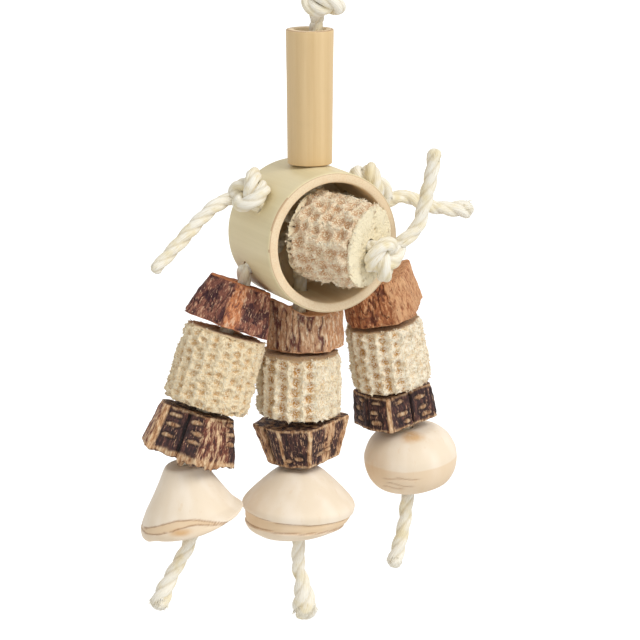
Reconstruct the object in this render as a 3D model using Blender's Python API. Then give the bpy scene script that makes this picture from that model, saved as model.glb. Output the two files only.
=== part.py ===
"""A hanging toy for cage birds: a bamboo ring under a bamboo tube, all threaded on rope.

The ring lies on its side with its open front towards -Y. A corn cob sits in its mouth, and
three rope strands hang below it, each with a bark slice, a corn cob, a pod slice and a turned
wooden top. Metres, +Z up. The origin is the hanging point, under the crown of the rope loop.
"""

import math

import bmesh
import bpy
from mathutils import Matrix, Vector

# Rope: one size throughout. A knot is pulled tight, so the rope is squeezed thinner inside it.
ROPE_DIAMETER = 0.006
KNOT_SQUEEZE = 0.80
KNOT_GAP = 0.0005
KNOT_ENTRY = 0.75
KNOT_EXIT = 0.35
KNOT_SINK = 0.0010
KNOT_STUB = 0.0008
KNOT_TOP_RISE = 0.0052
TAIL_LEAD = 0.0030
ROPE_SIDES_RESOLUTION = 2
FACE_GAP = 0.0004

# Bamboo ring, with its axis along Y.
RING_DIAMETER = 0.0600
RING_WALL = 0.0044
RING_LENGTH = 0.0413
RING_EDGE = 0.0009
NODE_WALL = 0.0030
NODE_SETBACK = 0.0012
NODE_HOLE = 0.0040
RING_DROP = 0.1400
RING_SIDES = 44
ROPE_HOLE = 0.0078
ROPE_SINK = 0.0012
HOLE_LEAD = 0.0040

# Bamboo tube on the hanging rope, narrower at its foot as the cane was.
TUBE_TOP_DIAMETER = 0.0196
TUBE_FOOT_DIAMETER = 0.0184
TUBE_LENGTH = 0.0570
TUBE_BORE = 0.0136
TUBE_EDGE = 0.0007
TUBE_SIDES = 28

# Where ropes pass through the ring: clock angle about its axis from +X, and place along Y.
TOP_HOLE_Y = 0.0020
STRAND_Y = 0.0070
LEFT_HOLE_ANGLE = math.radians(206.5)
RIGHT_HOLE_ANGLE = math.radians(331.0)
BOTTOM_HOLE_ANGLE = math.radians(265.2)
LEFT_KNOT_ANGLE = math.radians(150.0)
RIGHT_KNOT_ANGLE = math.radians(31.0)
LEFT_KNOT_Y = -0.0030
LEFT_KNOT_TURN = math.radians(-37)
RIGHT_KNOT_Y = 0.0085

# Beads: the hole through each one, and the running gap round the rope.
BEAD_BORE = 0.0074
STOPPER_DIAMETER = 0.0110
STOPPER_LENGTH = 0.0060
STOPPER_RECESS = 0.0110
STOPPER_CLEAR = 0.0005
RECESS_CLEAR = 0.0012
TOP_STOPPER_DIAMETER = 0.0124
TOP_STOPPER_LENGTH = 0.0090
TOP_STOPPER_CLEAR = 0.0010
STOPPER_SIDES = 16

# Corn cobs: rows of kernel sockets round and along.
COB_SOCKET_ROWS = 9
COB_SOCKETS_ALONG = 6
COB_SOCKET_DEPTH = 0.0011
RING_COB_DIAMETER = 0.0366
RING_COB_LENGTH = 0.0300
RING_COB_TURN = math.radians(33.6)
RING_COB_DIP = math.radians(6.0)
RING_COB_BACK = Vector((-0.0062, -0.0092, 0.0030))
COB_KNOT_TILT = math.radians(45)

# The hanging loop and the whole-toy pivot under its knot.
LOOP_WIDTH = 0.0200
LOOP_SHOULDER = 0.0160
LOOP_HAUNCH = 0.0040
LOOP_LEAD = 0.0030
HANGING_END = 0.0135
SWING_PIVOT = Vector((0.0031, 0.0020, 0.0885))
HANGING_KNOT_WAY = Vector((0.70, 0.70, 0.0))

ROPE_RADIUS = ROPE_DIAMETER / 2
RING_RADIUS = RING_DIAMETER / 2
RING_BORE_RADIUS = RING_RADIUS - RING_WALL
RING_CENTRE = Vector((-0.0020, -0.0020, -RING_DROP))
KNOT_ROPE = ROPE_DIAMETER * KNOT_SQUEEZE
KNOT_PITCH = KNOT_ROPE + KNOT_GAP

# Outlines of the sawn slices: degrees round from the slice's +X side, and the radius at its top and
# at its foot, of each corner. A split face runs between corners. The middle bark slice is bored off
# its centre.
LEFT_BARK = (
    (14, 0.0129, 0.0186), (74, 0.0148, 0.0198), (124, 0.0158, 0.0202), (169, 0.0161, 0.0206),
    (234, 0.0118, 0.0165), (256, 0.0116, 0.0163), (314, 0.0136, 0.0190),
)
MIDDLE_BARK = (
    (60, 0.0153, 0.0165), (120, 0.0132, 0.0142), (162, 0.0135, 0.0146), (228, 0.0107, 0.0115),
    (296, 0.0140, 0.0149), (350, 0.0203, 0.0210),
)
RIGHT_BARK = (
    (6, 0.0176, 0.0206), (60, 0.0158, 0.0172), (112, 0.0154, 0.0167), (155, 0.0158, 0.0172),
    (190, 0.0162, 0.0176), (216, 0.0162, 0.0176), (263, 0.0156, 0.0184), (296, 0.0146, 0.0178),
)
LEFT_POD = (
    (29, 0.0142, 0.0196), (89, 0.0150, 0.0200), (146, 0.0180, 0.0220), (182, 0.0186, 0.0224),
    (259, 0.0146, 0.0198), (327, 0.0144, 0.0204),
)
MIDDLE_POD = (
    (49, 0.0205, 0.0148), (104, 0.0198, 0.0144), (158, 0.0206, 0.0150), (209, 0.0161, 0.0117),
    (260, 0.0185, 0.0135), (342, 0.0230, 0.0166),
)
RIGHT_POD = (
    (34, 0.0161, 0.0178), (94, 0.0161, 0.0178), (144, 0.0186, 0.0204), (188, 0.0148, 0.0164),
    (231, 0.0161, 0.0178), (334, 0.0161, 0.0178),
)
FACE_STEP = 13.0
FACE_GROOVE = 0.0007
EDGE_EASE = 0.96

# Wooden tops: (radius, height below the top face), turned from the crown down to the foot.
CONE_TOP = (
    (0.0070, 0.0000), (0.0088, 0.0010), (0.0124, 0.0078), (0.0172, 0.0158), (0.0218, 0.0226),
    (0.0228, 0.0242), (0.0230, 0.0256), (0.0227, 0.0268), (0.0214, 0.0279),
)
SHOULDER_TOP = (
    (0.0070, 0.0000), (0.0102, 0.0010), (0.0156, 0.0060), (0.0207, 0.0122), (0.0235, 0.0176),
    (0.0240, 0.0200), (0.0238, 0.0216), (0.0222, 0.0246), (0.0182, 0.0270),
)
ROUND_TOP = (
    (0.0085, 0.0000), (0.0132, 0.0012), (0.0175, 0.0050), (0.0201, 0.0100), (0.0207, 0.0136),
    (0.0202, 0.0180), (0.0186, 0.0222), (0.0156, 0.0258), (0.0110, 0.0280),
)
FOOT_CUT_FROM = 0.68
TOP_SIDES = 26

# Each strand, from the ring down. Lean turns a piece about Y, with its foot towards -X when
# positive. Gap is the rope seen above a piece, shift moves the piece sideways along X, and slope is
# how far a top's foot rises towards +X.
STRANDS = {
    "left": {
        "angle": LEFT_HOLE_ANGLE,
        "lead": (math.radians(2), 0.0059),
        "bark_slice": {"lean": math.radians(22), "length": 0.0190, "outline": LEFT_BARK},
        "cob": {"lean": math.radians(18.5), "radii": (0.0170, 0.0180), "length": 0.0325, "gap": 0.0028},
        "pod_slice": {"lean": math.radians(18), "length": 0.0190, "gap": 0.0026, "outline": LEFT_POD},
        "wood_top": {
            "lean": math.radians(-8), "profile": CONE_TOP, "gap": 0.0044, "shift": -0.0007, "slope": 0.14,
        },
        "end": ((-0.0032, -0.0137), (-0.0066, -0.0207), (-0.0106, -0.0278), (-0.0152, -0.0378)),
    },
    "middle": {
        "angle": BOTTOM_HOLE_ANGLE,
        "lead": (0.0, 0.0026),
        "bark_slice": {"lean": 0.0, "length": 0.0165, "outline": MIDDLE_BARK},
        "cob": {"lean": math.radians(1), "radii": (0.0174, 0.0178), "length": 0.0270, "gap": 0.0016},
        "pod_slice": {"lean": math.radians(-5), "length": 0.0184, "gap": 0.0036, "outline": MIDDLE_POD},
        "wood_top": {
            "lean": math.radians(2), "profile": SHOULDER_TOP, "gap": 0.0032, "shift": -0.0012, "slope": 0.12,
        },
        "end": ((0.0000, -0.0120), (0.0000, -0.0225), (0.0019, -0.0300), (0.0030, -0.0420)),
    },
    "right": {
        "angle": RIGHT_HOLE_ANGLE,
        "lead": (math.radians(-41), 0.0086),
        "bark_slice": {"lean": math.radians(-14), "length": 0.0188, "outline": RIGHT_BARK},
        "cob": {
            "lean": math.radians(-10.5), "radii": (0.0163, 0.0169), "length": 0.0285, "gap": 0.0032,
            "shift": -0.0015,
        },
        "pod_slice": {
            "lean": math.radians(-8), "length": 0.0156, "gap": 0.0026, "shift": 0.0008, "outline": RIGHT_POD,
        },
        "wood_top": {"lean": math.radians(-6), "profile": ROUND_TOP, "gap": 0.0038, "shift": 0.0025},
        "end": ((-0.0014, -0.0101), (-0.0019, -0.0190), (-0.0043, -0.0295), (-0.0066, -0.0376)),
    },
}

# Free rope ends, from the ring's centre, as routes chosen by eye.
LEFT_TAIL = (
    (-0.0420, 0.0060, 0.0149), (-0.0502, 0.0060, 0.0086), (-0.0573, 0.0055, 0.0021),
    (-0.0699, 0.0045, -0.0089),
)
RIGHT_TAIL = (
    (0.0440, 0.0000, 0.0128), (0.0505, 0.0000, 0.0101), (0.0601, 0.0000, 0.0064), (0.0745, 0.0000, 0.0043),
)
COB_TAIL = (
    (0.0268, -0.0350, 0.0022), (0.0318, -0.0350, 0.0063), (0.0343, -0.0350, 0.0125),
    (0.0382, -0.0350, 0.0272), (0.0398, -0.0350, 0.0368),
)

MATERIALS = {
    "rope": ((0.80, 0.74, 0.60), 0.90),
    "bamboo_tan": ((0.60, 0.42, 0.21), 0.55),
    "bamboo_pale": ((0.68, 0.56, 0.36), 0.50),
    "corn_cob": ((0.66, 0.52, 0.34), 0.95),
    "bark": ((0.20, 0.07, 0.04), 0.90),
    "pod": ((0.10, 0.05, 0.04), 0.85),
    "pale_wood": ((0.84, 0.74, 0.58), 0.65),
}


def clear_scene():
    for item in list(bpy.data.objects):
        bpy.data.objects.remove(item, do_unlink=True)


def material(name):
    """The plain finish with this name, made the first time that it is asked for."""
    found = bpy.data.materials.get(name)
    if found:
        return found
    colour, roughness = MATERIALS[name]
    made = bpy.data.materials.new(name)
    made.use_nodes = True
    shader = made.node_tree.nodes["Principled BSDF"]
    shader.inputs["Base Color"].default_value = (*colour, 1.0)
    shader.inputs["Roughness"].default_value = roughness
    shader.inputs["Metallic"].default_value = 0.0
    return made


def from_ring(x, y, z):
    """A place given from the ring's centre."""
    return RING_CENTRE + Vector((x, y, z))


def on_ring(angle, radius, y):
    """A place at a clock angle round the ring's axis."""
    return from_ring(radius * math.cos(angle), y, radius * math.sin(angle))


def lean_axis(lean):
    """The upward axis of a piece that leans about Y, with its foot towards -X when positive."""
    return Vector((math.sin(lean), 0.0, math.cos(lean)))


def placing(foot, up):
    """A transform that stands local +Z along up, with the local origin at foot."""
    turn = Vector((0.0, 0.0, 1.0)).rotation_difference(up).to_matrix().to_4x4()
    return Matrix.Translation(foot) @ turn


def add_object(name, mesh, finish, origin):
    """Link a mesh given in world places as an object whose origin is on its own axis."""
    mesh.transform(Matrix.Translation(-origin))
    mesh.materials.append(material(finish))
    made = bpy.data.objects.new(name, mesh)
    made.location = origin
    bpy.context.collection.objects.link(made)
    return made


def turned(name, profile, sides, place, finish, swell=None, angles=None, lift=None):
    """A closed turned piece with a bore. The profile is a loop of (radius, height) that runs down
    the outside and back up the bore. swell(step, side) scales the outside's radius, angles gives
    the sides their places round the axis where they aren't even, and lift(step, x) raises a spot."""
    angles = angles or [math.tau * side / sides for side in range(sides)]
    shape = bmesh.new()
    rings = []
    for step, (radius, height) in enumerate(profile):
        ring = []
        for side, angle in enumerate(angles):
            wide = radius * (swell(step, side) if swell else 1.0)
            spot = Vector((wide * math.cos(angle), wide * math.sin(angle), height))
            spot.z += lift(step, spot.x) if lift else 0.0
            ring.append(shape.verts.new(place @ spot))
        rings.append(ring)
    for upper, lower in zip(rings, rings[1:] + rings[:1]):
        for side in range(sides):
            after = (side + 1) % sides
            shape.faces.new((upper[side], lower[side], lower[after], upper[after]))
    bmesh.ops.recalc_face_normals(shape, faces=shape.faces)
    mesh = bpy.data.meshes.new(name)
    shape.to_mesh(mesh)
    shape.free()
    mesh.shade_smooth()
    mesh.set_sharp_from_angle(angle=math.radians(35))
    return add_object(name, mesh, finish, place.translation.copy())


def smooth_route(points, step):
    """Places along a Catmull-Rom curve through the points, about one step apart."""
    ends = [points[0] * 2 - points[1]] + list(points) + [points[-1] * 2 - points[-2]]
    route = [points[0].copy()]
    for before, start, finish, after in zip(ends, ends[1:], ends[2:], ends[3:]):
        count = max(1, round((finish - start).length / step))
        for index in range(1, count + 1):
            t = index / count
            route.append(0.5 * (
                2 * start + (finish - before) * t
                + (2 * before - 5 * start + 4 * finish - after) * t ** 2
                + (3 * start - before - 3 * finish + after) * t ** 3
            ))
    return route


def rope(name, route, origin, thickness=ROPE_DIAMETER, round_start=False, from_knot=False):
    """A rope along a route, as a bevelled curve with closed ends. A round start is a half ball
    centred on the route's first place, so that the rope can turn there about that centre. A rope
    that comes from a knot starts as thin as the knot's rope and swells to its full thickness."""
    places = [(spot, 1.0) for spot in route]
    if round_start:
        places = round_cap(route[0], route[1], thickness) + places[1:]
    if from_knot:
        swell = (KNOT_SQUEEZE, KNOT_SQUEEZE, (1 + KNOT_SQUEEZE) / 2)
        places = [(spot, scale) for spot, scale in zip(route, swell)] + places[len(swell):]
    curve = bpy.data.curves.new(name, "CURVE")
    curve.dimensions = "3D"
    curve.bevel_depth = thickness / 2
    curve.bevel_resolution = ROPE_SIDES_RESOLUTION
    curve.use_fill_caps = True
    curve.materials.append(material("rope"))
    spline = curve.splines.new("POLY")
    spline.points.add(len(places) - 1)
    for point, (spot, scale) in zip(spline.points, places):
        point.co = (*(spot - origin), 1.0)
        point.radius = scale
    spline.use_smooth = True
    made = bpy.data.objects.new(name, curve)
    made.location = origin
    bpy.context.collection.objects.link(made)
    return made


def round_cap(centre, inward, thickness):
    """(place, scale) pairs of a half ball that closes a rope, from its pole to its full width."""
    out = (centre - inward).normalized()
    steps = (0.16, 0.5, 0.8, 1.0)
    return [(centre + out * (thickness / 2) * math.sqrt(1 - s * s), s) for s in steps]


def overhand(seat, out, across, last_cut, points=31):
    """The route of an overhand knot drawn up against a seat, from a hole in that seat.

    It is a trefoil on a torus that lies flat on the seat and is opened at one lobe. The rope comes
    straight out of the hole, and across is the way that its free end leaves. last_cut, in radians
    of the trefoil, is how much of the last lobe is left out.
    """
    ring, swing, rise = 1.115 * KNOT_PITCH, 0.5 * KNOT_PITCH, 0.5 * KNOT_PITCH
    first_cut = KNOT_ENTRY
    side = out.cross(across).normalized()
    lift = rise + KNOT_ROPE / 2 + KNOT_GAP
    entry = (ring + swing * math.cos(3 * first_cut)) * math.sin(2 * first_cut)
    middle = seat + out * lift - side * entry
    route = [seat - out * KNOT_SINK, seat + out * KNOT_STUB]
    for index in range(points):
        t = first_cut + (math.tau - first_cut - last_cut) * index / (points - 1)
        reach = ring + swing * math.cos(3 * t)
        route.append(
            middle + across * (reach * math.cos(2 * t)) + side * (reach * math.sin(2 * t))
            - out * (rise * math.sin(3 * t))
        )
    return route


def least_gap(route, thickness):
    """The least clear gap between parts of a rope that are not neighbours along it."""
    far = 2.2 * thickness
    along = [0.0]
    for start, finish in zip(route, route[1:]):
        along.append(along[-1] + (finish - start).length)
    gaps = [
        (route[i] - route[j]).length
        for i in range(len(route)) for j in range(i)
        if along[i] - along[j] > far
    ]
    return min(gaps) - thickness


def knot(name, route, origin):
    """A tight knot along a route, with the least gap to itself printed."""
    print(f"{name}: least gap to itself {least_gap(route, KNOT_ROPE) * 1000:.2f} mm")
    return rope(name, route, origin, KNOT_ROPE)


def cob_swell(step, side):
    """Staggered kernel sockets: every other place on the cob's side is a pit."""
    along = 2 * COB_SOCKETS_ALONG
    if step < 1 or step > along - 1:
        return 1.0
    pit = COB_SOCKET_DEPTH / 0.017
    return 1.0 - pit * ((step + side) % 2)


def corn_cob(name, place, radii, length, bore):
    """A corn cob with its kernels gone, sawn off square at both ends. The local origin is its
    top face, and its outside runs from radii[0] there to radii[1] at its foot."""
    along = 2 * COB_SOCKETS_ALONG
    profile = []
    for step in range(along + 1):
        part = step / along
        profile.append((radii[0] + (radii[1] - radii[0]) * part, -length * part))
    profile += [(bore / 2, -length), (bore / 2, 0.0)]
    return turned(name, profile, 2 * COB_SOCKET_ROWS, place, "corn_cob", cob_swell)


def split_faces(corners, end):
    """The sides of a slice's outline as (angle, radius) pairs, at its top for end 1 and at its foot
    for end 2. Each corner is a side, and between two corners runs a straight face with a groove at
    every other side."""
    sides = []
    for corner, next_corner in zip(corners, corners[1:] + corners[:1]):
        reach, far = corner[end], next_corner[end]
        span = (next_corner[0] - corner[0]) % 360
        count = max(2, round(span / FACE_STEP))
        for index in range(count):
            before = math.radians(span * index / count)
            after = math.radians(span) - before
            straight = reach * far * math.sin(before + after)
            straight /= reach * math.sin(before) + far * math.sin(after)
            groove = FACE_GROOVE if index % 2 else 0.0
            sides.append((math.radians(corner[0]) + before, straight - groove))
    return sides


def sawn_slice(name, place, length, corners, finish):
    """A slice sawn from a trunk or pod, with grooved faces between its corners."""
    top, foot = split_faces(corners, 1), split_faces(corners, 2)
    parts = (0.0, 0.12, 0.5, 0.88, 1.0)
    profile = [(1.0, -length * part) for part in parts]
    profile += [(BEAD_BORE / 2, -length), (BEAD_BORE / 2, 0.0)]

    def swell(step, side):
        if step >= len(parts):
            return 1.0
        part = parts[step]
        radius = top[side][1] + (foot[side][1] - top[side][1]) * part
        return radius * (EDGE_EASE if part in (0.0, 1.0) else 1.0)

    return turned(name, profile, len(top), place, finish, swell, [angle for angle, _ in top])


def wood_top(name, place, outside, slope):
    """A turned wooden top, with a recess underneath that takes the rope's stopper knot. Its foot is
    cut at a slope that rises towards +X."""
    foot = outside[-1][1]
    profile = [(radius, -down) for radius, down in outside]
    recess = STOPPER_DIAMETER / 2 + RECESS_CLEAR
    profile += [
        (recess, -foot), (recess, -foot + STOPPER_RECESS),
        (BEAD_BORE / 2, -foot + STOPPER_RECESS), (BEAD_BORE / 2, 0.0),
    ]
    cut_from = FOOT_CUT_FROM * foot

    def lift(step, x):
        if step > len(outside):
            return 0.0
        return slope * x * max(0.0, (-profile[step][1] - cut_from) / (foot - cut_from))

    return turned(name, profile, TOP_SIDES, place, "pale_wood", lift=lift)


def stopper(name, place, up):
    """A hidden stopper knot, drawn up hard, as a plain rounded solid with the rope through it."""
    half, radius = STOPPER_LENGTH / 2, STOPPER_DIAMETER / 2
    bore = ROPE_RADIUS + FACE_GAP
    profile = [
        (0.72 * radius, half), (radius, 0.45 * half), (radius, -0.45 * half), (0.72 * radius, -half),
        (bore, -half), (bore, half),
    ]
    return turned(name, profile, STOPPER_SIDES, placing(place, up), "rope")


def cut_hole(target, start, finish, diameter):
    """Drill a round hole along a line through a piece."""
    length = (finish - start).length
    shape = bmesh.new()
    bmesh.ops.create_cone(
        shape, cap_ends=True, segments=18, radius1=diameter / 2, radius2=diameter / 2, depth=length,
        matrix=placing((start + finish) / 2, (finish - start).normalized()),
    )
    mesh = bpy.data.meshes.new(target.name + "_drill")
    shape.to_mesh(mesh)
    shape.free()
    drill = bpy.data.objects.new(target.name + "_drill", mesh)
    drill.hide_render = True
    drill.display_type = "WIRE"
    bpy.context.collection.objects.link(drill)
    cut = target.modifiers.new("rope_hole", "BOOLEAN")
    cut.operation = "DIFFERENCE"
    cut.solver = "EXACT"
    cut.object = drill


def build_ring():
    """The ring: a short cane that is open in front and closed at the back by its own node wall."""
    half, edge = RING_LENGTH / 2, RING_EDGE
    outer, bore = RING_RADIUS, RING_BORE_RADIUS
    wall_back = half - NODE_SETBACK
    profile = [
        (outer - edge, half), (outer - 0.3 * edge, half - 0.3 * edge), (outer, half - edge),
        (outer, -half + edge), (outer - 0.3 * edge, -half + 0.3 * edge), (outer - edge, -half),
        (bore + 0.6 * edge, -half), (bore, -half + 0.6 * edge), (bore, wall_back - NODE_WALL),
        (NODE_HOLE / 2, wall_back - NODE_WALL), (NODE_HOLE / 2, wall_back), (bore, wall_back),
        (bore, half - 0.6 * edge), (bore + 0.6 * edge, half),
    ]
    place = Matrix.Translation(RING_CENTRE) @ Matrix.Rotation(math.radians(-90), 4, "X")
    ring = turned("bamboo_ring", profile, RING_SIDES, place, "bamboo_pale")
    holes = [(math.radians(90), TOP_HOLE_Y), (LEFT_KNOT_ANGLE, LEFT_KNOT_Y), (RIGHT_KNOT_ANGLE, RIGHT_KNOT_Y)]
    holes += [(strand["angle"], STRAND_Y) for strand in STRANDS.values()]
    for angle, y in holes:
        inside = on_ring(angle, bore - HOLE_LEAD, y)
        outside = on_ring(angle, outer + HOLE_LEAD, y)
        cut_hole(ring, inside, outside, ROPE_HOLE)
    return ring


def build_tube():
    top, foot, edge = TUBE_TOP_DIAMETER / 2, TUBE_FOOT_DIAMETER / 2, TUBE_EDGE
    length, bore = TUBE_LENGTH, TUBE_BORE / 2
    profile = [
        (top - edge, length), (top, length - edge), ((top + foot) / 2, length / 2), (foot, edge),
        (foot - edge, 0.0), (bore, 0.0), (bore, length),
    ]
    foot_place = from_ring(0.0, TOP_HOLE_Y, RING_RADIUS + FACE_GAP)
    return turned("bamboo_tube", profile, TUBE_SIDES, Matrix.Translation(foot_place), "bamboo_tan")


def build_hanging():
    """The loop, its knot, the rope through the tube and the stopper knot inside the ring."""
    up = Vector((0.0, 0.0, 1.0))
    pivot = RING_CENTRE + SWING_PIVOT
    seat = pivot + up * (ROPE_RADIUS + FACE_GAP + KNOT_SINK)
    body = overhand(seat, up, HANGING_KNOT_WAY.normalized(), KNOT_ENTRY)
    top = body[-1] + up * KNOT_TOP_RISE
    knot("hanging_knot", body + [top - up * (0.42 * KNOT_TOP_RISE), top], pivot)

    crown = Vector((0.0, 0.0, ROPE_RADIUS))
    reach = LOOP_WIDTH / 2
    first = top + up * FACE_GAP
    knot_top = max(spot.z for spot in body) + KNOT_ROPE / 2
    last = Vector((seat.x - KNOT_SINK, seat.y, knot_top + 2 * FACE_GAP))
    haunch = 0.75 * reach
    loop_route = [
        first, first + up * LOOP_LEAD, Vector((reach, 0.0, -LOOP_SHOULDER)), Vector((haunch, 0.0, -LOOP_HAUNCH)),
        crown, Vector((-haunch, 0.0, -LOOP_HAUNCH)), Vector((-reach, 0.0, -LOOP_SHOULDER)),
        last + up * LOOP_LEAD, last,
    ]
    rope("hanging_loop", smooth_route(loop_route, 0.004), crown)

    exit_place = from_ring(0.0, TOP_HOLE_Y, RING_BORE_RADIUS + HOLE_LEAD / 2)
    above_ring = from_ring(0.3 * SWING_PIVOT.x, TOP_HOLE_Y, RING_RADIUS + 0.35 * TUBE_LENGTH)
    hanging = [
        pivot, pivot - up * (2 * ROPE_DIAMETER), above_ring, exit_place + up * (2 * HOLE_LEAD), exit_place,
    ]
    rope("hanging_rope", smooth_route(hanging, 0.012), pivot, round_start=True)

    stub = exit_place - up * FACE_GAP
    low = stub - up * HANGING_END
    half, radius = TOP_STOPPER_LENGTH / 2, TOP_STOPPER_DIAMETER / 2
    profile = [
        (0.55 * radius, half), (radius, 0.4 * half), (radius, -0.4 * half), (0.6 * radius, -half),
        (ROPE_RADIUS + FACE_GAP, -half), (ROPE_RADIUS + FACE_GAP, half),
    ]
    knot_place = from_ring(0.0, TOP_HOLE_Y, RING_BORE_RADIUS - half - TOP_STOPPER_CLEAR)
    turned("top_stopper_knot", profile, STOPPER_SIDES, Matrix.Translation(knot_place), "rope")
    rope("hanging_rope_end", [stub, (stub + low) / 2, low], stub)


def build_knot_and_tail(name, seat, out, across, tail):
    """A knot against a seat, and the free rope end beyond it."""
    body = overhand(seat, out, across, KNOT_EXIT)
    knot(name + "_knot", body, seat)
    exit_way = (body[-1] - body[-2]).normalized()
    first = body[-1] + exit_way * FACE_GAP
    points = [first, first + exit_way * TAIL_LEAD] + [from_ring(*spot) for spot in tail]
    rope(name + "_tail", smooth_route(points, 0.009), first, from_knot=True)
    return body[0]


def build_side_knot(side, angle, y, down, turn, tail):
    """A knot on the outside of the ring, where a strand's rope comes out. down is +1 or -1, the
    way round the ring that its free end leaves, and turn turns the knot on its seat."""
    out = Vector((math.cos(angle), 0.0, math.sin(angle)))
    across = Vector((-math.sin(angle), 0.0, math.cos(angle))) * down
    across.rotate(Matrix.Rotation(turn, 3, out))
    return build_knot_and_tail(side, on_ring(angle, RING_RADIUS, y), out, across, tail)


def build_cross_rope(name, low_angle, high, middle):
    """The hidden rope across the ring, from a strand's hole to the knot on the other side."""
    low = on_ring(low_angle, RING_RADIUS - ROPE_SINK, STRAND_Y)
    low_in = on_ring(low_angle, RING_BORE_RADIUS - HOLE_LEAD, STRAND_Y)
    centre_way = (from_ring(0.0, high.y - RING_CENTRE.y, 0.0) - high).normalized()
    start = high + centre_way * FACE_GAP
    start_in = high + centre_way * (RING_WALL + HOLE_LEAD)
    points = [start, start_in, from_ring(*middle), low_in, low]
    rope(name, smooth_route(points, 0.012), low)


def build_ring_cob():
    """The cob in the ring's mouth, the rope that comes up through it, its knot and its free end."""
    flat = math.cos(RING_COB_DIP)
    forward = Vector((
        math.sin(RING_COB_TURN) * flat, -math.cos(RING_COB_TURN) * flat, -math.sin(RING_COB_DIP),
    ))
    back = RING_CENTRE + RING_COB_BACK
    front = back + forward * RING_COB_LENGTH
    radius = RING_COB_DIAMETER / 2
    corn_cob("ring_cob", placing(back, -forward), (radius, radius), RING_COB_LENGTH, BEAD_BORE)

    hole = on_ring(BOTTOM_HOLE_ANGLE, RING_RADIUS - ROPE_SINK, STRAND_Y)
    hole_in = on_ring(BOTTOM_HOLE_ANGLE, RING_BORE_RADIUS, STRAND_Y)
    end = front - forward * (KNOT_SINK + FACE_GAP)
    points = [
        hole, hole_in, from_ring(-0.0032, 0.0056, -0.0195), from_ring(-0.0050, 0.0028, -0.0130),
        from_ring(-0.0074, 0.0018, -0.0065), from_ring(-0.0092, 0.0006, -0.0010),
        from_ring(-0.0093, -0.0020, 0.0024), back - forward * 0.0036, back, end,
    ]
    rope("cob_rope", smooth_route(points, 0.007), hole)

    right = Vector((0.0, 0.0, 1.0)).cross(forward).normalized()
    across = right * math.cos(COB_KNOT_TILT) + forward.cross(right) * math.sin(COB_KNOT_TILT)
    build_knot_and_tail("cob", front, forward, across, COB_TAIL)


def build_strand(side, strand):
    """One hanging strand: four pieces stacked on a rope, its stopper knot and its free end."""
    pivot = on_ring(strand["angle"], RING_RADIUS - ROPE_SINK + FACE_GAP + ROPE_RADIUS, STRAND_Y)
    lead_lean, lead_length = strand["lead"]
    top = pivot - lean_axis(lead_lean) * lead_length
    route = [pivot]
    for kind in ("bark_slice", "cob", "pod_slice", "wood_top"):
        piece = strand[kind]
        up = lean_axis(piece["lean"])
        if kind != "bark_slice":
            top = top - last_up * piece["gap"] + Vector((piece.get("shift", 0.0), 0.0, 0.0))
        place = placing(top, up)
        name = f"{side}_{kind}"
        if kind == "bark_slice":
            sawn_slice(name, place, piece["length"], piece["outline"], "bark")
        elif kind == "cob":
            corn_cob(name, place, piece["radii"], piece["length"], BEAD_BORE)
        elif kind == "pod_slice":
            sawn_slice(name, place, piece["length"], piece["outline"], "pod")
        else:
            wood_top(name, place, piece["profile"], piece.get("slope", 0.0))
        length = piece.get("length") or piece["profile"][-1][1]
        route += [top - up * (length * part) for part in (0.0, 0.25, 0.75, 1.0)]
        top = top - up * length
        last_up = up

    recess_roof = top + last_up * STOPPER_RECESS
    knot_middle = recess_roof - last_up * (STOPPER_LENGTH / 2 + STOPPER_CLEAR)
    stopper(side + "_stopper_knot", knot_middle, last_up)
    rope_foot = knot_middle - last_up * (STOPPER_LENGTH / 2)
    route[-1] = rope_foot
    rope(side + "_strand_rope", smooth_route(route, 0.011), pivot, round_start=True)

    first = rope_foot - last_up * (2.5 * FACE_GAP)
    points = [first, first - last_up * TAIL_LEAD] + [first + Vector((x, 0.0, z)) for x, z in strand["end"]]
    rope(side + "_rope_end", smooth_route(points, 0.010), first)


def build():
    clear_scene()
    build_ring()
    build_tube()
    build_hanging()
    left_out = build_side_knot("left", LEFT_KNOT_ANGLE, LEFT_KNOT_Y, 1, LEFT_KNOT_TURN, LEFT_TAIL)
    right_out = build_side_knot("right", RIGHT_KNOT_ANGLE, RIGHT_KNOT_Y, -1, 0.0, RIGHT_TAIL)
    build_cross_rope("right_cross_rope", RIGHT_HOLE_ANGLE, left_out, (0.0, 0.0050, 0.0050))
    build_cross_rope("left_cross_rope", LEFT_HOLE_ANGLE, right_out, (0.0, 0.0124, 0.0010))
    build_ring_cob()
    for side, strand in STRANDS.items():
        build_strand(side, strand)


build()
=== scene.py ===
"""Looks of a hanging ring toy for cage birds: bamboo, corn cobs, bark, pods, pale wood and rope.

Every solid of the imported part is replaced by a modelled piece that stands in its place. Metres, +Z up.
"""

import math
import random

import bmesh
import bpy
from mathutils import Matrix, Vector, noise


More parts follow.
